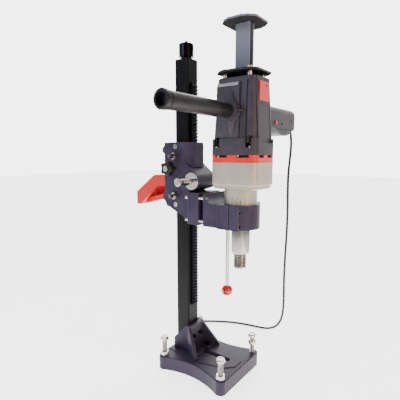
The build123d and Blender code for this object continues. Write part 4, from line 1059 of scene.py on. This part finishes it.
# ------------------------------------------------------------------------------- the gearbox
@dataclass
class Gearbox:
    """The painted gear case with its graduated neck, and the gears inside."""

    neck_x: float = 158.0
    neck_r: float = 37.5
    mark_low: float = 432.5
    mark_high: float = 449.0
    short_by: float = 6.0
    mark_count: int = 24
    long_every: int = 3
    mark_half: float = 0.45
    mark_sunk: float = 0.3
    mark_proud: float = 0.12

    def build(self) -> None:
        """Dress the gear case and cut its graduations."""
        dress(GEARBOX_PAINT, "gearbox_housing", "gear_cover")
        dress(BRASS, "water_nipple")
        dress(GEAR_STEEL, "spindle_gear", "countershaft", "counter_wheel")
        dress(BEARING_STEEL, "spindle_bearings", "motor_bearings")
        self.graduations()

    def graduations(self) -> None:
        """Fine dark lines round the neck; every third line is longer."""
        parts = []
        for index in range(self.mark_count):
            top = self.mark_high if index % self.long_every == 0 else self.mark_high - self.short_by
            mark = block("mark", (self.neck_r - self.mark_sunk, -self.mark_half, self.mark_low),
                         (self.neck_r + self.mark_proud, self.mark_half, top))
            round_edges(mark, self.mark_proud, segments=1)
            mark.rotation_euler = (0, 0, math.tau * index / self.mark_count)
            mark.location = (self.neck_x * MM, 0, 0)
            parts.append(settle(mark))
        hand_in(join("neck_graduations", parts), Body.CARRIAGE, BLACK_OXIDE)


@dataclass
class Spindle:
    """The output spindle: a hexagon, a shoulder and a coarse thread, bored through."""

    x: float = 158.0
    tip: float = 279.5
    shoulder: float = 317.0
    hex_top: float = 376.5
    across_flats: float = 41.0
    hex_turn: float = 7.0
    thread_r: float = 15.875
    pitch: float = 3.63
    depth: float = 1.9
    run_in: float = 2.0
    run_out: float = 3.0
    end_bevel: float = 1.2
    cone_reach: float = 4.0
    cone_inside: float = 4.4
    cone_outside: float = 26.0
    shank_r: float = 17.5
    shank_top: float = 440.0
    upper_r: float = 12.0
    upper_top: float = 498.0
    bore_r: float = 5.0
    bore: tuple[float, float] = (260.0, 520.0)

    def build(self) -> None:
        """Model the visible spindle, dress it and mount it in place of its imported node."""
        corner = self.across_flats / math.sqrt(3)
        nut = rod("spindle_hexagon", (0, 0, self.shoulder), (0, 0, self.hex_top), corner, sides=6)
        turned = rod("turned", (0, 0, self.shoulder - self.cone_reach),
                     (0, 0, self.hex_top + self.cone_reach), corner - self.cone_inside,
                     corner + self.cone_outside, sides=96)
        cut(nut, [turned], Cut.INSIDE)
        round_edges(nut, 0.6)
        nut.rotation_euler = (0, 0, math.radians(self.hex_turn + 30.0))
        settle(nut)
        root_r = self.thread_r - self.depth
        shank = rod("shank", (0, 0, self.hex_top - 1), (0, 0, self.shank_top), self.shank_r, sides=64)
        upper = rod("upper", (0, 0, self.shank_top - 1), (0, 0, self.upper_top), self.upper_r, sides=48)
        root = rod("root", (0, 0, self.tip), (0, 0, self.shoulder + 1), root_r, sides=64)
        with editing(root):
            select(root, Element.EDGES,
                   lambda middle, along: abs(middle.z - self.tip) < 0.1 and abs(along.z) < 0.1)
            bpy.ops.mesh.bevel(offset=self.end_bevel * MM, segments=2)
        turns = int((self.shoulder - self.tip - self.run_out) / self.pitch)
        ridge = thread_ridge("ridge", root_r, self.pitch, turns, self.depth, steps=48,
                             start=self.tip + self.run_in)
        low, high = self.bore
        parts = [nut, shank, upper, root, ridge]
        for part in parts[:-1]:
            cut(part, [rod("bore", (0, 0, low), (0, 0, high), self.bore_r, sides=32)])
        spindle = join("threaded_spindle", parts)
        spindle.location = (self.x * MM, 0, 0)
        hand_in(settle(spindle), Body.SPINDLE, TURNED_STEEL, ["spindle"])


# ------------------------------------------------------------------------------- the motor
@dataclass
class MotorHousing:
    """The ribbed nylon motor housing: its grooves, gussets, plain panel, louvres and screws."""

    middle_x: float = 161.0
    low: float = 575.0
    high: float = 697.0
    low_half: tuple[float, float] = (54.0, 44.5)
    high_half: tuple[float, float] = (47.5, 38.5)
    boss: tuple[float, float] = (158.0, 631.7)
    cutter_reach: float = 9.0
    slot_line: tuple[float, float, float] = (177.5, 2.4, 1.8)
    side_grooves: tuple[float, float] = (128.5, 193.5)
    side_groove_size: tuple[float, float] = (4.0, 2.6)
    groove_low: float = 577.0
    groove_high: float = 694.0
    end_grooves: tuple[tuple[float, float, float, float, float], ...] = (
        (-32.0, 3.0, 2.4, 577.0, 694.0), (32.5, 2.2, 2.2, 562.0, 668.0), (4.0, 48.0, 0.9, 566.0, 647.0),
    )
    recess_x: tuple[float, float] = (115.0, 193.0)
    recess_y: tuple[float, float] = (-50.0, 37.0)
    recess_size: tuple[float, float] = (14.0, 13.0)
    recess_z: tuple[float, float] = (556.0, 580.0)
    panel_x: tuple[float, float] = (119.0, 175.5)
    panel_z: tuple[float, float] = (578.0, 684.0)
    panel_proud: float = 0.7
    panel_sunk: float = 2.0
    panel_lean: float = 3.0
    panel_top_rise: tuple[float, float] = (1.6, 8.0)
    panel_top_back: float = 3.0
    softness: float = 0.5
    boss_y: float = -44.0
    gussets: tuple[tuple[float, float, float, float, tuple[float, float]], ...] = (
        (8.0, -4.0, -39.8, 686.0, (19.0, 0.7)), (-8.0, -1.0, -43.6, 579.0, (17.0, 0.9)),
    )
    collar_y: float = -52.0
    collar_r: tuple[float, float] = (23.0, 21.6)
    fin_x: tuple[float, float] = (14.0, 33.0)
    fin_y: tuple[float, float] = (-55.0, -40.0)
    fin_half: float = 1.2
    louvre_z: tuple[float, float] = (533.0, 541.5)
    louvre_half: tuple[float, float] = (1.1, 1.4)
    louvre_pitch: float = 5.0
    louvre_counts: tuple[int, int] = (19, 15)
    louvre_starts: tuple[float, float] = (116.0, -35.0)
    louvre_faces: tuple[float, float] = (41.6, 51.6)
    pillar_z: tuple[float, float] = (534.0, 541.0)
    pillar_r: float = 2.6
    pillar_places: tuple[tuple[float, float], ...] = (
        (124.0, -43.4), (198.0, 43.4), (214.4, 6.0), (107.6, -6.0),
    )
    corner_x: tuple[float, float] = (119.5, 202.5)
    corner_y: float = 41.8
    corner_z: float = 555.2
    corner_screw: tuple[float, float, float] = (3.4, 4.5, 1.9)
    cover_half: float = 50.4
    cover_place: tuple[float, float] = (9.0, 686.0)
    cover_screw: tuple[float, float, float] = (2.3, 0.7, 1.3)

    def half_at(self, z: float) -> tuple[float, float]:
        """The housing's half width in X and Y at a height.

        Args:
            z: The height in mm.

        Returns:
            The two half widths in mm.
        """
        share = (z - self.low) / (self.high - self.low)
        return (self.low_half[0] + share * (self.high_half[0] - self.low_half[0]),
                self.low_half[1] + share * (self.high_half[1] - self.low_half[1]))

    def leaning(self, name: str, low: Point, high: Point, lean: Point) -> Piece:
        """A block whose top is moved, so that its sides follow the housing's draft.

        Args:
            name: The piece's name.
            low: Its lowest corner in mm.
            high: Its highest corner in mm.
            lean: How far its top face moves in mm.

        Returns:
            The leaning block.
        """
        made = block(name, low, high)
        with editing(made):
            select(made, Element.FACES, lambda middle, normal: normal.z > 0.9)
            bpy.ops.transform.translate(value=Vector(lean) * MM)
        return made

    def side_groove(self, x: float, width: float, depth: float, sign: int, low: float, high: float) -> Piece:
        """A cutter for an upright groove in the near or far face.

        Args:
            x: The groove's middle in mm.
            width: Its width in mm.
            depth: Its depth in mm.
            sign: -1 for the near face, 1 for the far one.
            low: Its lower end in mm.
            high: Its upper end in mm.

        Returns:
            The cutter.
        """
        face, top = self.half_at(low)[1], self.half_at(high)[1]
        inner, outer = sorted((sign * (face - depth), sign * (face + self.cutter_reach)))
        return self.leaning("groove", (x - width / 2, inner, low), (x + width / 2, outer, high),
                            (0, sign * (top - face), 0))

    def end_groove(self, y: float, width: float, depth: float, sign: int, low: float, high: float) -> Piece:
        """A cutter for an upright groove in the face at either end of X.

        Args:
            y: The groove's middle in mm.
            width: Its width in mm.
            depth: Its depth in mm.
            sign: 1 for the +X face, -1 for the other.
            low: Its lower end in mm.
            high: Its upper end in mm.

        Returns:
            The cutter.
        """
        face, top = self.half_at(low)[0], self.half_at(high)[0]
        inner, outer = sorted((self.middle_x + sign * (face - depth),
                               self.middle_x + sign * (face + self.cutter_reach)))
        return self.leaning("groove", (inner, y - width / 2, low), (outer, y + width / 2, high),
                            (sign * (top - face), 0, 0))

    def build(self) -> None:
        """Carve the shell, add what stands proud, and dress the rest of the motor."""
        dress(RED_ABS, "vent_ring", "brush_covers", "lock_button")
        dress(HOUSING_NYLON, "top_cap")
        dress(MOTOR_IRON, "armature_core", "field_core")
        dress(GEAR_STEEL, "armature_shaft")
        dress(BLACK_NYLON, "cooling_fan", "brush_holders")
        self.shell()
        self.proud_parts()
        self.strip()
        self.grille()
        self.screws()

    def shell(self) -> None:
        """The housing with its grooves and recesses."""
        shell = copy_of_node("motor_housing", "ribbed_motor_housing")
        low, high = self.groove_low, self.groove_high
        width, depth = self.side_groove_size
        cutters = [self.side_groove(*self.slot_line, -1, low, high - 1)]
        cutters += [self.side_groove(x, width, depth, sign, low, high)
                    for x in self.side_grooves for sign in (-1, 1)]
        cutters += [self.end_groove(y, wide, deep, sign, bottom, top)
                    for sign in (-1, 1) for y, wide, deep, bottom, top in self.end_grooves]
        long, wide = self.recess_size
        bottom, top = self.recess_z
        cutters += [block("corner_recess", (x, y, bottom), (x + long, y + wide, top))
                    for x in self.recess_x for y in self.recess_y]
        cut(shell, cutters)
        hand_in(shell, Body.CARRIAGE, HOUSING_NYLON, ["motor_housing"], sharp_over=28.0)

    def proud_parts(self) -> None:
        """The upright near panel with its sloping top, the gussets round the boss, and the fin."""
        (left, right), (low, high) = self.panel_x, self.panel_z
        face, top = self.half_at(low)[1], self.half_at(high)[1]
        panel = self.leaning("near_panel", (left, -face - self.panel_proud, low),
                             (right, -face + self.panel_sunk, high), (0, face - top - self.panel_lean, 0))
        back, rise = self.panel_top_rise
        with editing(panel):
            select(panel, Element.FACES, lambda middle, normal: normal.z > 0.9)
            bpy.ops.mesh.extrude_region_move(TRANSFORM_OT_translate={"value": (0, back * MM, rise * MM)})
            select(panel, Element.EDGES, lambda middle, along: middle.z > high + rise - 1.0
                   and middle.y < -40.5 and abs(along.x) > 0.9)
            bpy.ops.transform.translate(value=(0, self.panel_top_back * MM, 0))
        x, z = self.boss
        gussets = [rod("gusset", (x, self.boss_y, z + up), (x + along, y, end), *radii, sides=4)
                   for up, along, y, end, radii in self.gussets]
        fin = block("fin", (x + self.fin_x[0], self.fin_y[0], z - self.fin_half),
                    (x + self.fin_x[1], self.fin_y[1], z + self.fin_half))
        for part in (panel, *gussets, fin):
            round_edges(part, self.softness)
        collar = rod("collar", (x, self.boss_y, z), (x, self.collar_y, z), *self.collar_r, sides=64)
        hand_in(join("near_panel_and_gussets", [panel, *gussets, fin, round_edges(collar, 0.6)]),
                Body.CARRIAGE, HOUSING_NYLON)

    def strip(self) -> None:
        """The strip along the near panel's sloping top, pale as a painted highlight."""
        strip = self.leaning("top_strip", (122, -42.9, 684.6), (171, -41.4, 692.0), (0, 4.4, 0))
        hand_in(round_edges(strip, 0.3), Body.CARRIAGE, HIGHLIGHT_NYLON)

    def grille(self) -> None:
        """Dark louvres behind the vent ring's notches, with its pillar screws."""
        low, high = self.louvre_z
        thin, thick = self.louvre_half
        parts = []
        for along_x, count, start, face in zip((True, False), self.louvre_counts, self.louvre_starts,
                                               self.louvre_faces):
            half = (thin, thick) if along_x else (thick, thin)
            louvre = round_edges(block("louvre", (-half[0], -half[1], low), (*half, high)), 0.4)
            steps = [start + self.louvre_pitch * index for index in range(count)]
            parts += copies(louvre, [(step, side, 0) if along_x else (self.middle_x + side, step, 0)
                                     for step in steps for side in (-face, face)])
        hand_in(join("vent_louvres", parts), Body.CARRIAGE, GRILLE_NYLON)
        low, high = self.pillar_z
        pillar = round_edges(rod("pillar", (0, 0, low), (0, 0, high), self.pillar_r, sides=24), 0.4)
        pillars = copies(pillar, [(x, y, 0) for x, y in self.pillar_places])
        hand_in(join("vent_pillars", pillars), Body.CARRIAGE, ZINC_PLATE)

    def screws(self) -> None:
        """Corner screws of the housing and the small screws of the brush covers."""
        screw = cap_screw("corner_screw", (0, 0, self.corner_z), (0, 0, 1), *self.corner_screw)
        corner = copies(screw, [(x, side * self.corner_y, 0) for x in self.corner_x for side in (-1, 1)])
        hand_in(join("housing_corner_screws", corner), Body.CARRIAGE, ZINC_PLATE)
        cover = [cap_screw("cover_screw", (self.middle_x + sign * self.cover_half, *self.cover_place),
                           (sign, 0, 0), *self.cover_screw) for sign in (-1, 1)]
        hand_in(join("brush_cover_screws", cover), Body.CARRIAGE, BLACK_OXIDE)


@dataclass
class SideHandle:
    """The round auxiliary handle with its open end."""

    axis: tuple[float, float] = (158.0, 631.7)
    ring_places: tuple[float, ...] = (-103.0, -106.0, -245.0, -248.0)
    ring_r: float = 16.45
    ring_half: float = 0.5

    def build(self) -> None:
        """Dress the handle and add its moulded rings."""
        dress(BLACK_NYLON, "side_handle")
        x, z = self.axis
        ring = rod("ring", (x, self.ring_half, z), (x, -self.ring_half, z), self.ring_r, sides=64)
        rings = copies(round_edges(ring, 0.3), [(0, y, 0) for y in self.ring_places])
        hand_in(join("side_handle_rings", rings), Body.CARRIAGE, BLACK_NYLON)


@dataclass
class SwitchGrip:
    """The rear grip with its trigger, lock button and clam-shell screws."""

    middle_x: float = 158.0
    half_width: float = 21.0
    screw_places: tuple[tuple[float, float], ...] = ((78.0, 622.0), (165.0, 618.0), (222.0, 628.0))
    screw_size: tuple[float, float, float] = (3.0, 0.8, 1.5)

    def build(self) -> None:
        """Dress the grip and add its screws on both sides."""
        dress(HOUSING_NYLON, "switch_grip")
        dress(BLACK_NYLON, "grip_keel", "trigger", "switch_module", "strain_relief")
        screws = []
        for sign in (-1, 1):
            x = self.middle_x + sign * self.half_width
            screws += [cap_screw("grip_screw", (x, y, z), (sign, 0, 0), *self.screw_size)
                       for y, z in self.screw_places]
        hand_in(join("grip_screws", screws), Body.CARRIAGE, BLACK_OXIDE)


@dataclass
class TopPost:
    """The plate on the motor's top cap, the channel post and its head plate."""

    def build(self) -> None:
        """Dress the post and plates."""
        dress(PLATE_ENAMEL, "lower_plate")
        dress(SHEET_ENAMEL, "post")
        dress(ZINC_PLATE, "plate_screws")


# ------------------------------------------------------------------------------- the mains lead
@dataclass
class MainsLead:
    """A rubbery 7 mm lead: it hangs from the grip to the floor and ends in a tied hank and a plug."""

    radius: float = 3.5
    hank_middle: tuple[float, float] = (-169.0, 207.0)
    hank_degrees: float = 129.2
    half_run: float = 42.0
    outer_r: float = 28.5
    inner_r: float = 21.3
    first_layer: float = 4.7
    second_layer: float = 11.8
    plug_z: float = 30.1
    tie_x: tuple[float, float] = (-29.0, -17.0)
    tie_top: float = 16.9
    tie_slack: float = 0.6
    tie_thick: float = 0.8
    tie_bend: float = 3.6
    plug_x: tuple[float, float] = (7.0, 38.0)
    plug_half: tuple[float, float] = (17.0, 15.0)
    plug_waist: tuple[float, float] = (0.62, 0.66)
    plug_softness: float = 3.0
    ridge_x: tuple[float, ...] = (16.0, 21.0, 26.0)
    ridge_size: tuple[float, float, float] = (1.8, 15.4, 7.5)
    pin_x: tuple[float, float] = (36.0, 56.5)
    pin_y: float = 9.5
    pin_r: float = 2.4
    route: tuple[Point, ...] = (
        (158, 252, 626), (158, 264, 608), (158, 272, 583), (158, 273, 555), (158, 266, 523),
        (158, 260, 487), (159, 258, 444), (160, 260, 385), (159, 262, 320), (157, 261, 252),
        (157, 258, 185), (159, 257, 125), (158, 259, 82), (152, 260, 48), (137, 260, 23),
        (112, 259, 8), (80, 257, 4), (38, 250, 3.9), (-6, 235, 4), (-46, 213, 3.9),
        (-79, 189, 4), (-108.2, 165.6, 3.9),
    )

    def arc(self, middle: float, angles: Sequence[float], radii: Sequence[float],
            heights: Sequence[float]) -> list[Point]:
        """Points round one end of the hank, just outside the turn that the spline makes of them.

        Args:
            middle: The end's middle along the hank in mm.
            angles: The points' angles in degrees.
            radii: The turn's radius at each point in mm.
            heights: The height at each point in mm.

        Returns:
            The points in the hank's own frame.
        """
        swell = 1 / math.cos(math.radians(15))
        return [(middle + r * swell * math.cos(math.radians(a)), r * swell * math.sin(math.radians(a)), z)
                for a, r, z in zip(angles, radii, heights)]

    def hank(self) -> list[Point]:
        """The hank's turns: an outer and an inner turn, then one on top of them, up to the plug.

        Returns:
            The points in the hank's own frame.
        """
        near, far = -self.half_run, self.half_run
        out, inn, one, two = self.outer_r, self.inner_r, self.first_layer, self.second_layer
        quarter, near_turn = (165, 135, 105), (-105, -135, -165, 165, 135, 105)
        far_turn = (75, 45, 15, -15, -45, -75)
        points = self.arc(near, quarter, [out] * 3, [one] * 3)
        points += [(-14, out, one), (16, out, one)]
        points += self.arc(far, far_turn, [out] * 6, [one] * 6)
        points += [(20, -out, one), (-2, -out, one), (-36, -inn, one)]
        points += self.arc(near, near_turn, [inn] * 6, [one] * 6)
        points += [(-14, inn, one), (16, inn, one)]
        points += self.arc(far, far_turn, [inn] * 6, [one] * 6)
        points += [(38, -inn, one), (6, -inn, two), (-20, -inn, two)]
        points += self.arc(near, near_turn, [inn] * 6, [two] * 6)
        points += [(-14, inn, two), (16, inn, two)]
        points += self.arc(far, far_turn, [inn + (out - inn) * k / 5 for k in range(6)], [two] * 6)
        points += [(20, -out, two), (-10, -out, two)]
        points += self.arc(near, (-105, -135, -165), [out] * 3, [two, two + 2.5, two + 6.2])
        points += [(-70.0, 9.0, 20.0), (-61.0, 19.5, 22.0), (-46.0, 23.0, 24.5), (-30.0, 17.5, 27.0),
                   (-17.0, 6.0, 29.2), (-6.0, 0.4, self.plug_z), (3.0, 0.0, self.plug_z)]
        return points

    def to_frame(self, point: Point) -> Vector:
        """Bring a point of the hank's own frame into the rig's.

        Args:
            point: The point along, across and above the hank in mm.

        Returns:
            The point in metres.
        """
        turn = math.radians(self.hank_degrees)
        along, across, up = point
        return Vector((self.hank_middle[0] + along * math.cos(turn) - across * math.sin(turn),
                       self.hank_middle[1] + along * math.sin(turn) + across * math.cos(turn), up)) * MM

    def build(self) -> None:
        points = [Vector(p) * MM for p in self.route] + [self.to_frame(p) for p in self.hank()]
        curve = bpy.data.curves.new("lead_line", "CURVE")
        curve.dimensions = "3D"
        spline = curve.splines.new("NURBS")
        spline.points.add(len(points) - 1)
        for knot, place in zip(spline.points, points):
            knot.co = (*place, 1.0)
        spline.order_u = 3
        spline.use_endpoint_u = True
        curve.resolution_u = 8
        line = place_in_scene("lead_line", curve)
        path = [vert.co.copy() for vert in bpy.data.meshes.new_from_object(line).vertices]
        curve.bevel_depth = self.radius * MM
        curve.bevel_resolution = 4
        curve.use_fill_caps = True
        lead = place_in_scene("mains_lead", bpy.data.meshes.new_from_object(line))
        bpy.data.objects.remove(line, do_unlink=True)
        pick_up(lead)
        bpy.ops.object.shade_smooth()
        lead.data.materials.clear()
        lead.data.materials.append(PVC_SHEATH.material())
        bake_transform(lead)
        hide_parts("cord", "cord_hank")
        plug = self.plug()
        tie = self.tie()

    def laid(self, piece: Piece) -> Piece:
        """Turn a piece from the hank's own frame into the rig's, and settle it.

        Args:
            piece: The piece to lay.

        Returns:
            The same piece.
        """
        piece.rotation_euler = (0, 0, math.radians(self.hank_degrees))
        piece.location = self.to_frame((0, 0, 0))
        return settle(piece)

    def tie(self) -> Piece:
        """A hook-and-loop strap round both sides of the hank.

        Returns:
            The strap.
        """
        half, thick = self.outer_r + self.radius + self.tie_slack, self.tie_thick
        start, end = self.tie_x
        strap = block("hank_tie", (start, -half - thick, 0.1), (end, half + thick, self.tie_top))
        round_edges(strap, self.tie_bend, segments=4, over_degrees=80)
        hollow = block("hollow", (start - 3, -half, 0.1 + thick), (end + 3, half, self.tie_top - thick))
        round_edges(hollow, self.tie_bend - thick, segments=4, over_degrees=80)
        cut(strap, [hollow])
        return hand_in(self.laid(strap), Body.STAND, BLACK_NYLON)

    def plug(self) -> Piece:
        """A moulded two-pin plug with a waisted grip.

        Returns:
            The plug.
        """
        z = self.plug_z
        (start, end), (wide, high) = self.plug_x, self.plug_half
        body = block("moulded_plug", (start, -wide, z - high), (end, wide, z + high))
        with editing(body):
            select(body, Element.FACES, lambda middle, normal: normal.x < -0.9)
            bpy.ops.transform.resize(value=(1.0, *self.plug_waist), center_override=(start * MM, 0, z * MM))
            bpy.ops.mesh.inset(thickness=1.5 * MM)
            select(body, Element.FACES, lambda middle, normal: normal.x > 0.9)
            bpy.ops.mesh.inset(thickness=2.2 * MM)
            bpy.ops.mesh.inset(thickness=0.8 * MM, depth=-0.8 * MM)
        round_edges(body, self.plug_softness, segments=4, over_degrees=50)
        tail = round_edges(rod("tail", (0, 0, z), (10, 0, z), 5.4, 8.8, sides=40), 0.8)
        long, wide, high = self.ridge_size
        ridge = round_edges(block("ridge", (0, -wide, z - high), (long, wide, z + high)), 0.7)
        ridges = copies(ridge, [(x, 0, 0) for x in self.ridge_x])
        plug = hand_in(self.laid(join("moulded_plug", [body, tail, *ridges])), Body.STAND, BLACK_NYLON,
                       ["mains_plug"])
        root, tip = self.pin_x
        pin = round_edges(rod("pin", (root, 0, z), (tip, 0, z), self.pin_r, sides=28), 0.8)
        pins = copies(pin, [(0, y, 0) for y in (-self.pin_y, self.pin_y)])
        hand_in(self.laid(join("plug_pins", pins)), Body.STAND, BRASS)
        return plug


# ------------------------------------------------------------------------------- the studio
@dataclass
class Studio:
    """A plain pale floor, a cool soft light on the left, a warm one on the right, and the camera."""

    camera_place: Point = (575.3, -706.0, 540.6)
    azimuth: float = 37.10
    tilt: float = 8.39
    focal_px: float = 359.83
    frame_px: float = 400.0
    middle_y_px: float = 208.09
    sensor: float = 36.0
    clip: tuple[float, float] = (0.05, 60.0)
    floor_half: float = 9000.0
    floor_top: float = -0.5
    wall_light: float = 5.0
    room_light: float = 0.34
    wall_edge: tuple[float, float] = (0.3, 0.8)
    rig_middle: Point = (60.0, 0.0, 430.0)
    softboxes: tuple[tuple[str, Point, float, float, str], ...] = (
        ("cool_left", (-500, -1700, 1500), 700, 20, "c6d6ff"),
        ("warm_right", (1900, -500, 900), 600, 17, "ffc98c"),
        ("top", (150, -250, 2300), 1000, 9, "ffffff"),
    )

    def softbox(self, name: str, place: Point, size: float, watts: float, colour: str) -> None:
        """Hang a square soft light that faces the rig's middle.

        Args:
            name: The light's name.
            place: Where it hangs in mm.
            size: Its side in mm.
            watts: Its power.
            colour: Its colour as sRGB hex.
        """
        lamp = bpy.data.lights.new(name, "AREA")
        lamp.size = size * MM
        lamp.energy = watts
        lamp.color = linear(colour)[:3]
        held = place_in_scene(name, lamp)
        held.location = Vector(place) * MM
        held.rotation_euler = (Vector(place) - Vector(self.rig_middle)).to_track_quat("Z", "Y").to_euler()

    def build(self) -> None:
        """Lay the floor, hang the lights and stand the camera."""
        self.floor()
        self.room(bpy.context.scene)
        for softbox in self.softboxes:
            self.softbox(*softbox)
        self.camera()

    def room(self, scene: bpy.types.Scene) -> None:
        """A brightly lit white wall all round the far side, in a dim room.

        Args:
            scene: The scene whose world is made.
        """
        scene.world = bpy.data.worlds.new("studio_room")
        scene.world.use_nodes = True
        tree = scene.world.node_tree
        tree.nodes.clear()
        way = add_node(tree, "ShaderNodeNewGeometry")
        a = math.radians(self.azimuth)
        back = (math.sin(a), -math.cos(a), 0.0)
        facing = add_node(tree, "ShaderNodeVectorMath", {0: way.outputs["Incoming"], 1: back},
                          operation="DOT_PRODUCT")
        dark, bright = self.wall_edge
        wall = add_node(tree, "ShaderNodeMapRange",
                        {"Value": facing.outputs["Value"], "From Min": dark, "From Max": bright,
                         "To Min": self.room_light, "To Max": self.wall_light},
                        interpolation_type="SMOOTHSTEP")
        air = add_node(tree, "ShaderNodeBackground", {"Color": linear("ffffff"), "Strength": wall.outputs[0]})
        add_node(tree, "ShaderNodeOutputWorld", {"Surface": air.outputs[0]})

    def floor(self) -> None:
        """A wide sheet of matt opal acrylic that glows by its own emission, painted light standing in for the
        lamp of a shooting table.
        """
        deselect_all()
        bpy.ops.mesh.primitive_plane_add(size=2 * self.floor_half * MM, location=(0, 0, self.floor_top * MM))
        sheet = bpy.context.active_object
        sheet.name = "studio_floor"
        settle(sheet)
        sheet.data.materials.append(OpalSheet("opal_acrylic_sheet", 0.85).material())

    def camera(self) -> None:
        """The camera at its place, with a small upward shift and no depth of field."""
        a, e = math.radians(self.azimuth), math.radians(self.tilt)
        ahead = Vector((-math.sin(a) * math.cos(e), math.cos(a) * math.cos(e), -math.sin(e)))
        right = Vector((math.cos(a), math.sin(a), 0.0))
        up = right.cross(ahead)
        made = bpy.data.cameras.new("camera")
        made.sensor_width = self.sensor
        made.lens = self.focal_px / self.frame_px * self.sensor
        made.shift_y = (self.middle_y_px - self.frame_px / 2) / self.frame_px
        made.clip_start, made.clip_end = self.clip
        made.dof.use_dof = False
        stood = place_in_scene("camera", made)
        turn = Matrix((right, up, -ahead)).transposed().to_4x4()
        stood.matrix_world = Matrix.Translation(Vector(self.camera_place) * MM) @ turn
        bpy.context.scene.camera = stood


def main() -> None:
    """Build the rig's sub-assemblies in order."""
    logging.basicConfig(level=logging.INFO, format="%(name)s: %(message)s")
    Studio().build()
    MainsLead().build()
    Stand().build()
    for screw in (LevellingScrew("rear_near", -16.6, -73.5), LevellingScrew("rear_far", -16.6, 73.5),
                  LevellingScrew("front_near", 155.7, -73.5), LevellingScrew("front_far", 155.7, 73.5, 57.0)):
        screw.build()
    Carriage().build()
    FeedLever().build()
    Gearbox().build()
    Spindle().build()
    MotorHousing().build()
    SideHandle().build()
    SwitchGrip().build()
    TopPost().build()


if __name__ == "__main__":
    main()
